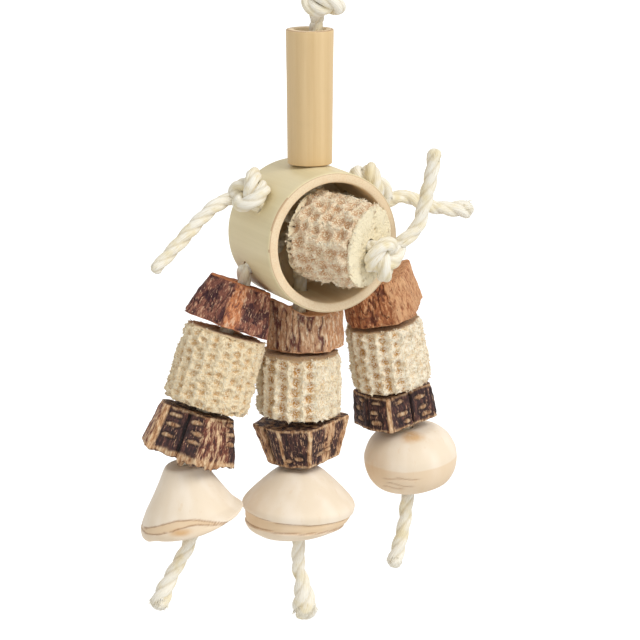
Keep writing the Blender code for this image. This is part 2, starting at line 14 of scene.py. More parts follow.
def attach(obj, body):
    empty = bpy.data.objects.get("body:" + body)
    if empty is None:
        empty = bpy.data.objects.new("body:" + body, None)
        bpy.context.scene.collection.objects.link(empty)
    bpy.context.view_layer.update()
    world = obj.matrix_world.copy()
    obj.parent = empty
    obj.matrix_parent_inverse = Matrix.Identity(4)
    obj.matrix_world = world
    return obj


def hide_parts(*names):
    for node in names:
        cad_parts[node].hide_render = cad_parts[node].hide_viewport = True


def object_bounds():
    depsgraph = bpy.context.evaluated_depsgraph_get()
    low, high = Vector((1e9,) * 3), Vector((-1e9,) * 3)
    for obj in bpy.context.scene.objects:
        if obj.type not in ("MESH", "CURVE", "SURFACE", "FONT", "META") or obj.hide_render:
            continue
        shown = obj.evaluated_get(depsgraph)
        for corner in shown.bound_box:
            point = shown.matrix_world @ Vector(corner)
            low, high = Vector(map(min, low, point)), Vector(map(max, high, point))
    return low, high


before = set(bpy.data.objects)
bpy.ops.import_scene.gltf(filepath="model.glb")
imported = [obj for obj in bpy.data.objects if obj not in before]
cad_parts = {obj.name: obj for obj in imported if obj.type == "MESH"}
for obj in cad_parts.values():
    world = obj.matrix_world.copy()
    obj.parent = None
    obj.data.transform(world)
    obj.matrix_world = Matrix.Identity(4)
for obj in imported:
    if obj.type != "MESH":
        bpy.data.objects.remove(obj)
cad_box = [list(corner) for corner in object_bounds()]
scene = bpy.context.scene

# Sizes and places. Most are those of the part's source, and a few outlines are a little off them.
ROPE_DIAMETER = 0.006
ROPE_RADIUS = ROPE_DIAMETER / 2
KNOT_ROPE = 0.8 * ROPE_DIAMETER
KNOT_GAP = 0.0005
KNOT_PITCH = KNOT_ROPE + KNOT_GAP
KNOT_RING = 1.115 * KNOT_PITCH
KNOT_SWING = 0.5 * KNOT_PITCH
KNOT_RISE = 0.5 * KNOT_PITCH
KNOT_POINTS = 31
KNOT_OVERLAP = 2
KNOT_ENTRY = 0.75
KNOT_EXIT = 0.35
KNOT_SINK = 0.0010
KNOT_STUB = 0.0008
KNOT_TOP_RISE = 0.0052
TAIL_LEAD = 0.0030
FACE_GAP = 0.0004
RING_RADIUS = 0.0300
RING_WALL = 0.0044
RING_BORE_RADIUS = RING_RADIUS - RING_WALL
RING_LENGTH = 0.0413
RING_CENTRE = Vector((-0.0020, -0.0020, -0.1400))
HOLE_CLEAR = 0.0002
ROPE_SINK = 0.0012
HOLE_LEAD = 0.0040
TUBE_TOP_RADIUS = 0.0098
TUBE_FOOT_RADIUS = 0.0092
TUBE_LENGTH = 0.0570
TUBE_BORE = 0.0068
TUBE_SWELL = 1.025
TOP_HOLE_Y = 0.0020
STRAND_Y = 0.0070
LEFT_KNOT = (math.radians(150.0), -0.0030)
RIGHT_KNOT = (math.radians(31.0), 0.0085)
LEFT_KNOT_TURN = math.radians(-37.0)
NODE_WALL = 0.0030
NODE_SETBACK = 0.0012
NODE_HOLE = 0.0020
BEAD_BORE = 0.0037
STOPPER_RADIUS = 0.0055
STOPPER_LENGTH = 0.0060
STOPPER_RECESS = 0.0110
STOPPER_CLEAR = 0.0005
RECESS_RADIUS = STOPPER_RADIUS + 0.0012
TOP_STOPPER_LENGTH = 0.0090
TOP_STOPPER_RADIUS = 0.0066
WRAP_THICKNESS = 0.0042
WRAP_TURNS = 2.1
WRAP_POINTS = 90
RING_COB_RADIUS = 0.0183
RING_COB_LENGTH = 0.0300
RING_COB_TURN = math.radians(33.6)
RING_COB_DIP = math.radians(6.0)
RING_COB_BACK = Vector((-0.0062, -0.0092, 0.0030))
COB_KNOT_TILT = math.radians(45)
SWING_PIVOT = Vector((0.0031, 0.0020, 0.0885))
HANGING_KNOT_WAY = Vector((0.70, 0.70, 0.0))
HANGING_KNOT_DRAW = 0.80
LOOP_REACH = 0.0100
LOOP_HAUNCH = 0.75 * LOOP_REACH
LOOP_HAUNCH_DROP = 0.0040
LOOP_SIDE_DROP = 0.0160
LOOP_LEAD = 0.0030
UP = Vector((0.0, 0.0, 1.0))

# Corners of the sawn slices: degrees round from +X, and the radius at the top and at the foot.
LEFT_BARK = (
    (14, 0.0129, 0.0186), (74, 0.0148, 0.0198), (124, 0.0158, 0.0202), (169, 0.0155, 0.0214),
    (234, 0.0118, 0.0165), (256, 0.0116, 0.0163), (314, 0.0136, 0.0190),
)
MIDDLE_BARK = (
    (60, 0.0153, 0.0165), (120, 0.0132, 0.0142), (162, 0.0135, 0.0146), (228, 0.0107, 0.0115),
    (296, 0.0140, 0.0149), (350, 0.0203, 0.0210),
)
RIGHT_BARK = (
    (6, 0.0188, 0.0214), (60, 0.0158, 0.0172), (112, 0.0154, 0.0167), (155, 0.0158, 0.0172),
    (190, 0.0162, 0.0176), (216, 0.0162, 0.0176), (263, 0.0156, 0.0184), (296, 0.0146, 0.0178),
)
LEFT_POD = (
    (29, 0.0142, 0.0196), (89, 0.0150, 0.0200), (146, 0.0184, 0.0226), (182, 0.0191, 0.0231),
    (259, 0.0146, 0.0198), (327, 0.0144, 0.0204),
)
MIDDLE_POD = (
    (49, 0.0205, 0.0148), (104, 0.0198, 0.0144), (158, 0.0206, 0.0150), (209, 0.0161, 0.0117),
    (260, 0.0185, 0.0135), (342, 0.0230, 0.0166),
)
RIGHT_POD = (
    (34, 0.0161, 0.0178), (94, 0.0161, 0.0178), (144, 0.0195, 0.0209), (188, 0.0154, 0.0168),
    (231, 0.0161, 0.0178), (334, 0.0161, 0.0178),
)

# Turned profiles of the wooden tops: radius, and height below the crown.
CONE_TOP = (
    (0.0070, 0.0000), (0.0088, 0.0010), (0.0124, 0.0078), (0.0171, 0.0158), (0.0214, 0.0226),
    (0.0223, 0.0242), (0.0225, 0.0256), (0.0222, 0.0268), (0.0210, 0.0279),
)
SHOULDER_TOP = (
    (0.0070, 0.0000), (0.0102, 0.0010), (0.0160, 0.0060), (0.0215, 0.0115), (0.0240, 0.0145),
    (0.0247, 0.0162), (0.0245, 0.0180), (0.0240, 0.0200), (0.0238, 0.0216), (0.0222, 0.0246),
    (0.0182, 0.0270),
)
ROUND_TOP = (
    (0.0085, 0.0000), (0.0132, 0.0012), (0.0175, 0.0050), (0.0201, 0.0100), (0.0207, 0.0136),
    (0.0202, 0.0180), (0.0186, 0.0222), (0.0156, 0.0258), (0.0110, 0.0280),
)
FOOT_CUT_FROM = 0.68

# Strands from the ring down. Lean is in degrees about Y, gap the rope seen above a piece, shift a
# move along X, and slope how far a top's foot rises towards +X.
STRANDS = {
    "left": {
        "angle": 206.5, "lead": (2.0, 0.0059),
        "bark_slice": {"lean": 22.0, "length": 0.0190, "corners": LEFT_BARK},
        "cob": {"lean": 18.5, "radii": (0.0170, 0.0180), "length": 0.0325, "gap": 0.0028},
        "pod_slice": {"lean": 18.0, "length": 0.0190, "gap": 0.0026, "corners": LEFT_POD},
        "wood_top": {"lean": -8.0, "profile": CONE_TOP, "gap": 0.0044, "shift": -0.0007, "slope": 0.14},
        "end": ((-0.0036, -0.0137), (-0.0081, -0.0207), (-0.0125, -0.0278), (-0.0168, -0.0364)),
    },
    "middle": {
        "angle": 265.2, "lead": (0.0, 0.0026),
        "bark_slice": {"lean": 0.0, "length": 0.0165, "corners": MIDDLE_BARK},
        "cob": {"lean": 1.0, "radii": (0.0174, 0.0178), "length": 0.0270, "gap": 0.0016},
        "pod_slice": {"lean": -5.0, "length": 0.0184, "gap": 0.0036, "corners": MIDDLE_POD},
        "wood_top": {"lean": 2.0, "profile": SHOULDER_TOP, "gap": 0.0032, "shift": -0.0012, "slope": 0.12},
        "end": ((0.0000, -0.0120), (0.0000, -0.0225), (0.0019, -0.0300), (0.0030, -0.0420)),
    },
    "right": {
        "angle": 331.0, "lead": (-41.0, 0.0086),
        "bark_slice": {"lean": -14.0, "length": 0.0188, "corners": RIGHT_BARK},
        "cob": {"lean": -10.5, "radii": (0.0163, 0.0169), "length": 0.0285, "gap": 0.0032, "shift": -0.0015},
        "pod_slice": {"lean": -8.0, "length": 0.0156, "gap": 0.0026, "shift": 0.0008, "corners": RIGHT_POD},
        "wood_top": {"lean": -6.0, "profile": ROUND_TOP, "gap": 0.0038, "shift": 0.0025, "slope": 0.0},
        "end": ((-0.0016, -0.0101), (-0.0025, -0.0190), (-0.0051, -0.0295), (-0.0074, -0.0372)),
    },
}

# Free rope ends, from the ring's centre.
LEFT_TAIL = (
    (-0.0420, 0.0060, 0.0149), (-0.0502, 0.0060, 0.0086), (-0.0573, 0.0055, 0.0021),
    (-0.0699, 0.0045, -0.0089),
)
RIGHT_TAIL = (
    (0.0440, 0.0000, 0.0128), (0.0505, 0.0000, 0.0101), (0.0601, 0.0000, 0.0064), (0.0745, 0.0000, 0.0043),
)
COB_ROPE_ROUTE = (
    (-0.0032, 0.0056, -0.0195), (-0.0050, 0.0028, -0.0130), (-0.0074, 0.0018, -0.0065),
    (-0.0092, 0.0006, -0.0010), (-0.0093, -0.0020, 0.0024),
)
COB_TAIL = (
    (0.0268, -0.0350, 0.0022), (0.0318, -0.0350, 0.0063), (0.0343, -0.0350, 0.0125),
    (0.0382, -0.0350, 0.0272), (0.0398, -0.0350, 0.0368),
)

# Rope: three strands laid right-handed, one turn in LAY. YARNS are seen round it, and loose fibres
# start FRAY_ROOT inside its end. Most of it is drawn a little thicker than its solids.
LAY = 0.024
STRAND_SIDES = 8
ROPE_STEP = 0.0006
YARNS = 21
FRAY_ROOT = 0.0025
KNOT_THICKNESS = 0.0065
ROPE_THICKNESS = 0.0062

# How fine the meshes are: faces round a drilled hole and each cob, rings across a cob's ends and its
# step along, and the grain of the carved slices.
DRILL_SIDES = 40
COB_SIDES = 168
COB_END_RINGS = 14
COB_STEP = 0.00036
SLICE_GRAIN = 0.00042

# The camera's turn from the front, its height above level, its distance and angle of view. It looks
# at a place that is TARGET_RISE above the ring's centre and TARGET_RIGHT to the picture's right of it.
CAMERA_TURN = math.radians(-26.0)
CAMERA_HEIGHT = math.radians(13.5)
CAMERA_DISTANCE = 1.15
CAMERA_VIEW = math.radians(13.61)
SENSOR_WIDTH = 36.0
TARGET_RISE = -0.03755
TARGET_RIGHT = 0.003386

# Light and floor. KEY_PARTS say how much the key comes from the right, from the camera and from above.
WHITE = (1.0, 1.0, 1.0, 1.0)
SKY_STRENGTH = 0.66
KEY_STRENGTH = 1.56
KEY_WIDTH = math.radians(28)
KEY_PARTS = (0.62, 0.58, 0.62)
FLOOR_DROP = 0.30
FLOOR_TINT = (0.86, 0.86, 0.86, 1.0)
FLOOR_LIFT = 0.42


def colour(red, green, blue):
    """A colour on the 0 to 255 scale of a paint card, as the linear value that a shader takes."""
    parts = []
    for part in (red / 255, green / 255, blue / 255):
        parts.append(part / 12.92 if part <= 0.04045 else ((part + 0.055) / 1.055) ** 2.4)
    return (*parts, 1.0)


def colours(tints):
    return [colour(*tint) for tint in tints]


def smooth(value, low, high):
    """0 below low, 1 above high, with an even slope at both ends."""
    share = min(1.0, max(0.0, (value - low) / (high - low)))
    return share * share * (3 - 2 * share)


# Places.

def from_ring(x, y, z):
    return RING_CENTRE + Vector((x, y, z))


def on_ring(angle, radius, y):
    return from_ring(radius * math.cos(angle), y, radius * math.sin(angle))


def lean_axis(lean):
    """The upward axis of a piece that leans about Y, with its foot towards -X when positive."""
    return Vector((math.sin(math.radians(lean)), 0.0, math.cos(math.radians(lean))))


def placing(foot, up):
    """A transform that stands local +Z along up, with the local origin at foot."""
    return Matrix.Translation(foot) @ UP.rotation_difference(up).to_matrix().to_4x4()


def smooth_route(points, step):
    """Places along a Catmull-Rom curve through the points, about one step apart."""
    ends = [points[0] * 2 - points[1]] + list(points) + [points[-1] * 2 - points[-2]]
    route = [points[0].copy()]
    for before, start, finish, after in zip(ends, ends[1:], ends[2:], ends[3:]):
        count = max(1, round((finish - start).length / step))
        for index in range(1, count + 1):
            t = index / count
            route.append(0.5 * (
                2 * start + (finish - before) * t
                + (2 * before - 5 * start + 4 * finish - after) * t ** 2
                + (3 * start - before - 3 * finish + after) * t ** 3
            ))
    return route


def overhand(seat, out, across, last_cut):
    """The route of an overhand knot drawn up against a seat, from a hole in that seat."""
    side = out.cross(across).normalized()
    lift = KNOT_RISE + KNOT_ROPE / 2 + KNOT_GAP
    entry = (KNOT_RING + KNOT_SWING * math.cos(3 * KNOT_ENTRY)) * math.sin(2 * KNOT_ENTRY)
    middle = seat + out * lift - side * entry
    route = [seat - out * KNOT_SINK, seat + out * KNOT_STUB]
    for index in range(KNOT_POINTS):
        t = KNOT_ENTRY + (math.tau - KNOT_ENTRY - last_cut) * index / (KNOT_POINTS - 1)
        reach = KNOT_RING + KNOT_SWING * math.cos(3 * t)
        route.append(
            middle + across * (reach * math.cos(2 * t)) + side * (reach * math.sin(2 * t))
            - out * (KNOT_RISE * math.sin(3 * t))
        )
    return route


# Handling of objects and edit mode.

def only(piece):
    bpy.ops.object.select_all(action="DESELECT")
    piece.select_set(True)
    bpy.context.view_layer.objects.active = piece


def edit(piece):
    only(piece)
    bpy.ops.object.mode_set(mode="EDIT")


def done():
    bpy.ops.object.mode_set(mode="OBJECT")


def pick_faces(piece, test):
    """In edit mode, select just the faces whose middle and normal pass the test."""
    bpy.ops.mesh.select_mode(type="FACE")
    bpy.ops.mesh.select_all(action="DESELECT")
    shape = bmesh.from_edit_mesh(piece.data)
    for face in shape.faces:
        if test(face.calc_center_median(), face.normal):
            face.select_set(True)
    bmesh.update_edit_mesh(piece.data)


def pick_edges(piece, test):
    """In edit mode, select just the edges whose two ends pass the test."""
    bpy.ops.mesh.select_mode(type="EDGE")
    bpy.ops.mesh.select_all(action="DESELECT")
    shape = bmesh.from_edit_mesh(piece.data)
    for edge in shape.edges:
        if test(edge.verts[0].co, edge.verts[1].co):
            edge.select_set(True)
    bmesh.update_edit_mesh(piece.data)


def add_cylinder(name, sides, radius, length, middle, turn=(0.0, 0.0, 0.0)):
    bpy.ops.object.select_all(action="DESELECT")
    bpy.ops.mesh.primitive_cylinder_add(
        vertices=sides, radius=radius, depth=length, end_fill_type="NGON", location=middle, rotation=turn,
    )
    piece = bpy.context.object
    piece.name = name
    piece.data.name = name
    bpy.ops.object.transform_apply(location=True, rotation=True, scale=True)
    return piece


def apply_modifier(piece, kind, **settings):
    only(piece)
    bpy.ops.object.modifier_add(type=kind)
    added = piece.modifiers[-1]
    for name, value in settings.items():
        setattr(added, name, value)
    bpy.ops.object.modifier_apply(modifier=added.name)


def roughen(piece, size, depth):
    """Push the surface in and out by soft clouds of this size."""
    texture = bpy.data.textures.new(piece.name + "_clouds", "CLOUDS")
    texture.noise_scale = size
    texture.noise_depth = 2
    apply_modifier(piece, "DISPLACE", texture=texture, strength=depth, mid_level=0.5, texture_coords="LOCAL")
    bpy.data.textures.remove(texture)


def drill(piece, start, finish, radius):
    """Drill a round hole along a line through a piece."""
    bit = add_cylinder("drill_bit", DRILL_SIDES, radius, (finish - start).length, (0.0, 0.0, 0.0))
    bit.data.transform(placing((start + finish) / 2, (finish - start).normalized()))
    apply_modifier(piece, "BOOLEAN", object=bit, operation="DIFFERENCE", solver="EXACT")
    bpy.data.objects.remove(bit, do_unlink=True)


def stand(piece, place):
    """Move a finished piece from the bench to its place, and keep the place in its mesh."""
    only(piece)
    piece.matrix_world = place
    bpy.ops.object.transform_apply(location=True, rotation=True, scale=True)


def outward(piece):
    edit(piece)
    bpy.ops.mesh.select_all(action="SELECT")
    bpy.ops.mesh.remove_doubles(threshold=0.000002)
    bpy.ops.mesh.normals_make_consistent(inside=False)
    done()


def smooth_shade(piece, angle):
    only(piece)
    bpy.ops.object.shade_smooth_by_angle(angle=math.radians(angle))


def close_tube(faces, start, corners, steps):
    """Add the faces of a closed tube, whose rings of points follow one another from start."""
    for step in range(steps):
        low = start + corners * step
        for corner in range(corners):
            after = (corner + 1) % corners
            faces.append((low + corner, low + after, low + corners + after, low + corners + corner))
    end = start + corners * steps
    faces.append(tuple(range(start + corners - 1, start - 1, -1)))
    faces.append(tuple(range(end, end + corners)))


def mesh_piece(name, points, faces, finish):
    mesh = bpy.data.meshes.new(name)
    mesh.from_pydata(points, [], faces)
    mesh.materials.append(finish)
    mesh.shade_smooth()
    piece = bpy.data.objects.new(name, mesh)
    scene.collection.objects.link(piece)
    return piece


def carve(piece, shape, masks):
    """Move each point along its normal, and write the masks that the finish reads. shape gets a
    point and its normal and gives the push and one value for each mask."""
    mesh = piece.data
    values = {name: [0.0] * len(mesh.vertices) for name in masks}
    normals = [vertex.normal.copy() for vertex in mesh.vertices]
    for vertex, way in zip(mesh.vertices, normals):
        push, *levels = shape(vertex.co.copy(), way)
        vertex.co += way * push
        for name, level in zip(masks, levels):
            values[name][vertex.index] = level
    for name in masks:
        layer = mesh.attributes.new(name, "FLOAT", "POINT")
        layer.data.foreach_set("value", values[name])
    mesh.update()


def dress(piece, body, slot, *nodes):
    """Let a piece ride on its body and stand for its solids, whose parts it hides. slot is not used."""
    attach(piece, body)
    if nodes:
        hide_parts(*nodes)
    return piece


def set_in_place(piece, name, slot, finish, angle, place):
    """Give a carved piece its finish, stand it in its place, and let it ride on the body of its name."""
    piece.data.materials.append(finish)
    smooth_shade(piece, angle)
    stand(piece, place)
    return dress(piece, name, slot, name)


# Wiring of materials.

def node(tree, kind, inputs=None, **settings):
    """Add a shader node. An input is a value, or the output socket that feeds it."""
    made = tree.nodes.new("ShaderNode" + kind)
    for name, value in settings.items():
        setattr(made, name, value)
    for name, value in (inputs or {}).items():
        if isinstance(value, bpy.types.NodeSocket):
            tree.links.new(value, made.inputs[name])
        else:
            made.inputs[name].default_value = value
    return made


def math_node(tree, operation, first, second=0.0):
    return node(tree, "Math", {0: first, 1: second}, operation=operation).outputs[0]


def times(tree, first, second):
    return math_node(tree, "MULTIPLY", first, second)


def plus(tree, first, second):
    return math_node(tree, "ADD", first, second)


def mix(tree, share, low, high, how="MIX"):
    made = node(tree, "Mix", {0: share, 6: low, 7: high}, data_type="RGBA", blend_type=how)
    return made.outputs[2]


def wash(tree, share, strength, under, over):
    """One colour over another where share is high, no stronger than strength."""
    return mix(tree, times(tree, share, strength), under, over)


def ramp(tree, value, *stops):
    """Colours along a value, given as (value, colour) stops."""
    made = node(tree, "ValToRGB", {0: value})
    band = made.color_ramp
    while len(band.elements) < len(stops):
        band.elements.new(0.5)
    for element, (spot, tint) in zip(band.elements, stops):
        element.position = spot
        element.color = tint
    return made.outputs[0]


def level(tree, value, low, high):
    """A value stretched so that low gives 0 and high gives 1, clamped."""
    made = node(tree, "MapRange", {0: value, 1: low, 2: high}, interpolation_type="SMOOTHSTEP")
    return made.outputs[0]


def clouds(tree, vector, scale, detail=3.0, roughness=0.55):
    inputs = {"Vector": vector, "Scale": scale, "Detail": detail, "Roughness": roughness}
    return node(tree, "TexNoise", inputs).outputs[0]


def bump(tree, height, distance, strength):
    return node(tree, "Bump", {"Height": height, "Distance": distance, "Strength": strength}).outputs[0]


def mask(tree, name):
    return node(tree, "Attribute", attribute_name=name).outputs["Fac"]


def new_finish(name, roughness, specular, sheen=0.0):
    finish = bpy.data.materials.new(name)
    finish.use_nodes = True
    tree = finish.node_tree
    shader = tree.nodes["Principled BSDF"]
    shader.inputs["Roughness"].default_value = roughness
    shader.inputs["Specular IOR Level"].default_value = specular
    shader.inputs["Sheen Weight"].default_value = sheen
    return finish, tree, shader


def on_piece(tree, place):
    """Object coordinates turned and centred so that local +Z runs along the piece's own axis."""
    back = place.inverted()
    spot = node(tree, "TexCoord").outputs["Object"]
    made = node(tree, "Mapping", {
        "Vector": spot, "Location": back.translation, "Rotation": back.to_euler("XYZ"),
    })
    return made.outputs[0]


def make_group(name, inputs, outputs):
    tree = bpy.data.node_groups.new(name, "ShaderNodeTree")
    for label, kind in inputs:
        tree.interface.new_socket(name=label, in_out="INPUT", socket_type=kind)
    for label in outputs:
        tree.interface.new_socket(name=label, in_out="OUTPUT", socket_type="NodeSocketFloat")
    entry = tree.nodes.new("NodeGroupInput")
    leave = tree.nodes.new("NodeGroupOutput")
    return tree, entry, leave


def make_long_fibres():
    """Fibres that run along local +Z: fine ones, and broad bands of light and dark."""
    tree, entry, leave = make_group(
        "long_fibres",
        (("Vector", "NodeSocketVector"), ("Fineness", "NodeSocketFloat"), ("Stretch", "NodeSocketFloat")),
        ("Fibre", "Band"),
    )
    fineness = entry.outputs["Fineness"]
    parts = node(tree, "SeparateXYZ", {0: entry.outputs["Vector"]})
    drawn = math_node(tree, "DIVIDE", parts.outputs[2], entry.outputs["Stretch"])
    grown = node(tree, "CombineXYZ", {0: parts.outputs[0], 1: parts.outputs[1], 2: drawn}).outputs[0]
    tree.links.new(clouds(tree, grown, fineness, 4.0, 0.62), leave.inputs["Fibre"])
    tree.links.new(clouds(tree, grown, times(tree, fineness, 0.22), 2.0, 0.5), leave.inputs["Band"])
    return tree


def make_fine_grit():
    """Grains and pits of one size, and softer blotches some times larger."""
    tree, entry, leave = make_group(
        "fine_grit",
        (("Vector", "NodeSocketVector"), ("Fineness", "NodeSocketFloat")),
        ("Grit", "Blotch"),
    )
    vector, fineness = entry.outputs["Vector"], entry.outputs["Fineness"]
    cells = node(tree, "TexVoronoi", {"Vector": vector, "Scale": fineness})
    soft = clouds(tree, vector, fineness, 3.0, 0.6)
    grit = plus(tree, times(tree, cells.outputs["Distance"], 0.6), soft)
    broad = times(tree, fineness, 0.17)
    tree.links.new(grit, leave.inputs["Grit"])
    tree.links.new(clouds(tree, vector, broad, 3.0, 0.55), leave.inputs["Blotch"])
    return tree


LONG_FIBRES = make_long_fibres()
FINE_GRIT = make_fine_grit()


def long_fibres(tree, vector, fineness, stretch):
    made = node(tree, "Group", node_tree=LONG_FIBRES)
    tree.links.new(vector, made.inputs["Vector"])
    made.inputs["Fineness"].default_value = fineness
    made.inputs["Stretch"].default_value = stretch
    return made.outputs["Fibre"], made.outputs["Band"]


def fine_grit(tree, vector, fineness):
    made = node(tree, "Group", node_tree=FINE_GRIT)
    tree.links.new(vector, made.inputs["Vector"])
    made.inputs["Fineness"].default_value = fineness
    return made.outputs["Grit"], made.outputs["Blotch"]


def join(tree, shader, tint, normal=None, roughness=None):
    tree.links.new(tint, shader.inputs["Base Color"])
    if normal:
        tree.links.new(normal, shader.inputs["Normal"])
    if roughness:
        tree.links.new(roughness, shader.inputs["Roughness"])


# Finishes.

def rope_finish():
    """Undyed rope, with painted shade in the grooves between its strands. The UV map has the way round in
    U and the length along in V, so yarns follow it.
    """
    finish, tree, shader = new_finish("undyed_rope", 0.92, 0.25, 0.25)
    parts = node(tree, "SeparateXYZ", {0: node(tree, "UVMap", uv_map="rope_lay").outputs[0]})
    around, along = parts.outputs[0], parts.outputs[1]
    spot = node(tree, "TexCoord").outputs["Object"]
    wander = clouds(tree, spot, 420.0, 3.0)
    straight = plus(tree, around, times(tree, along, 0.7 / LAY))
    phase = plus(tree, times(tree, straight, math.tau * YARNS), times(tree, wander, 7.0))
    yarn = plus(tree, times(tree, math_node(tree, "SINE", phase), 0.5), 0.5)
    in_strand = math_node(tree, "FRACT", times(tree, around, 3.0))
    off_crown = math_node(tree, "ABSOLUTE", math_node(tree, "SUBTRACT", in_strand, 0.5))
    shaded_groove = level(tree, times(tree, off_crown, 2.0), 0.62, 1.0)
    drawn = node(tree, "CombineXYZ", {0: times(tree, straight, 60.0), 1: times(tree, along, 160.0)})
    hair = clouds(tree, drawn.outputs[0], 1.0, 4.0, 0.65)
    blotch = clouds(tree, spot, 130.0, 2.0)
    tint = ramp(
        tree, hair, (0.30, colour(214, 199, 164)), (0.43, colour(243, 236, 218)),
        (0.72, colour(253, 250, 241)),
    )
    tint = mix(tree, level(tree, blotch, 0.42, 0.72), tint, colour(246, 238, 214), "MULTIPLY")
    # Painted shade in the grooves between the strands.
    tint = wash(tree, shaded_groove, 0.38, tint, colour(206, 188, 150))
    height = plus(tree, times(tree, yarn, 0.5), hair)
    join(tree, shader, tint, bump(tree, height, 0.00032, 0.5))
    return finish


def loose_finish(name, roughness, specular, fineness, *stops):
    """Loose fibres or flakes, which differ a little in tint from place to place."""
    finish, tree, shader = new_finish(name, roughness, specular, 0.2)
    spot = node(tree, "TexCoord").outputs["Object"]
    join(tree, shader, ramp(tree, clouds(tree, spot, fineness), *stops))
    return finish


def bamboo_skin_finish(name, place, dark, light, gloss):
    """The outer skin of a cane: faint long fibres under a thin natural wax."""
    finish, tree, shader = new_finish(name, gloss, 0.45)
    vector = on_piece(tree, place)
    fibre, band = long_fibres(tree, vector, 900.0, 42.0)
    blotch = fine_grit(tree, vector, 620.0)[1]
    share = plus(tree, times(tree, band, 0.65), times(tree, fibre, 0.35))
    tint = ramp(tree, share, (0.34, dark), (0.62, light))
    tint = wash(tree, level(tree, blotch, 0.5, 0.75), 0.12, tint, colour(200, 176, 130))
    rough = plus(tree, times(tree, fibre, 0.25), gloss - 0.12)
    join(tree, shader, tint, bump(tree, fibre, 0.00012, 0.5), rough)
    return finish


def bamboo_rim_finish(place, radius):
    """Sawn and sanded end grain: faint dots of the fibre bundles, and the darker line of the skin."""
    finish, tree, shader = new_finish("bamboo_rim", 0.6, 0.35)
    vector = on_piece(tree, place)
    grit, blotch = fine_grit(tree, vector, 1500.0)
    tint = ramp(tree, grit, (0.5, colour(232, 206, 168)), (0.9, colour(240, 219, 184)))
    tint = wash(tree, level(tree, blotch, 0.4, 0.7), 0.4, tint, colour(234, 203, 162))
    flat = node(tree, "VectorMath", {0: vector, 1: (1.0, 1.0, 0.0)}, operation="MULTIPLY").outputs[0]
    away = node(tree, "VectorMath", {0: flat}, operation="LENGTH").outputs["Value"]
    edge = level(tree, away, radius - 0.0010, radius - 0.0004)
    tint = wash(tree, edge, 0.65, tint, colour(164, 124, 84))
    join(tree, shader, tint, bump(tree, grit, 0.00006, 0.3))
    return finish


def bamboo_inside_finish(place):
    """The raw inside of a cane: bands of long fibres, with thin dark gaps between some."""
    finish, tree, shader = new_finish("bamboo_inside", 0.7, 0.3)
    fibre, band = long_fibres(tree, on_piece(tree, place), 700.0, 26.0)
    tint = ramp(
        tree, band, (0.32, colour(234, 206, 164)), (0.5, colour(243, 220, 182)),
        (0.7, colour(249, 231, 198)),
    )
    tint = mix(tree, level(tree, fibre, 0.35, 0.2), tint, colour(150, 104, 66))
    join(tree, shader, tint, bump(tree, fibre, 0.0002, 0.6))
    return finish


def cob_finish(name, place, ridge, hollow_and_shade, chaff, pale_chaff, pith_and_shade):
    """Dry corn cob: pale ridges, brown sockets with painted shade in them and down their columns, papery
    chaff, and the pith of the sawn ends, painted darker as shade on some cobs.
    """
    finish, tree, shader = new_finish(name, 0.95, 0.15, 0.2)
    vector = on_piece(tree, place)
    grit, blotch = fine_grit(tree, vector, 1500.0)
    fibre, band = long_fibres(tree, vector, 900.0, 2.2)
    worn = times(tree, math_node(tree, "SUBTRACT", fibre, 0.5), 0.8)
    ragged = plus(tree, mask(tree, "socket_and_shade"), worn)
    # Sockets: their own brown with painted shade, deepest in the hollows and down the column valleys.
    tint = mix(tree, level(tree, ragged, 0.05, 0.90), ridge, hollow_and_shade)
    tint = wash(tree, level(tree, blotch, 0.48, 0.66), 0.65, tint, chaff)
    tint = wash(tree, level(tree, fibre, 0.47, 0.36), 0.45, tint, hollow_and_shade)
    pale = level(tree, plus(tree, grit, times(tree, band, 0.3)), 0.92, 1.1)
    tint = wash(tree, pale, 0.7, tint, pale_chaff)
    # Sawn ends: on the middle and right cobs the pith tint is darkened as painted shade under the slices
    # above.
    face = mix(tree, level(tree, grit, 0.40, 0.56), chaff, pith_and_shade)
    tint = mix(tree, mask(tree, "sawn"), tint, face)
    join(tree, shader, tint, bump(tree, plus(tree, grit, fibre), 0.0006, 0.8))
    return finish


def bark_finish(name, place, gloomy, deep, dark, middle, light, bare):
    """Dry bark. Masks from the carving say where it is cracked, split bare or sawn; the split-bare tint on
    the middle and right slices, which lies on their key-lit faces, is partly painted light. The higher
    gloomy is, the more of it is deep in tint."""
    finish, tree, shader = new_finish(name, 0.85, 0.25)
    vector = on_piece(tree, place)
    fibre = long_fibres(tree, vector, 620.0, 3.4)[0]
    fleck = long_fibres(tree, vector, 1500.0, 4.0)[0]
    grit, blotch = fine_grit(tree, vector, 900.0)
    share = plus(tree, times(tree, fibre, 0.7), times(tree, fleck, 0.3))
    tint = ramp(tree, share, (0.36, dark), (0.47, dark), (0.54, middle), (0.64, light))
    gloom = plus(tree, blotch, times(tree, fibre, 0.35))
    tint = wash(tree, level(tree, gloom, 0.70 - gloomy, 0.80 - gloomy), 0.8, tint, deep)
    split = ramp(tree, share, (0.38, dark), (0.50, bare), (0.62, light))
    # Split-bare faces: their own paler fibre, and on the middle and right slices also painted light where
    # they face the key.
    tint = mix(tree, mask(tree, "split"), tint, split)
    tint = wash(tree, mask(tree, "crack"), 0.9, tint, deep)
    tint = wash(tree, level(tree, fleck, 0.57, 0.66), 0.75, tint, light)
    tint = wash(tree, level(tree, fleck, 0.42, 0.33), 0.6, tint, deep)
    end_grain = ramp(tree, grit, (0.5, dark), (0.9, bare))
    tint = mix(tree, mask(tree, "sawn"), tint, end_grain)
    height = plus(tree, share, times(tree, grit, 0.45))
    join(tree, shader, tint, bump(tree, height, 0.0012, 0.9))
    return finish


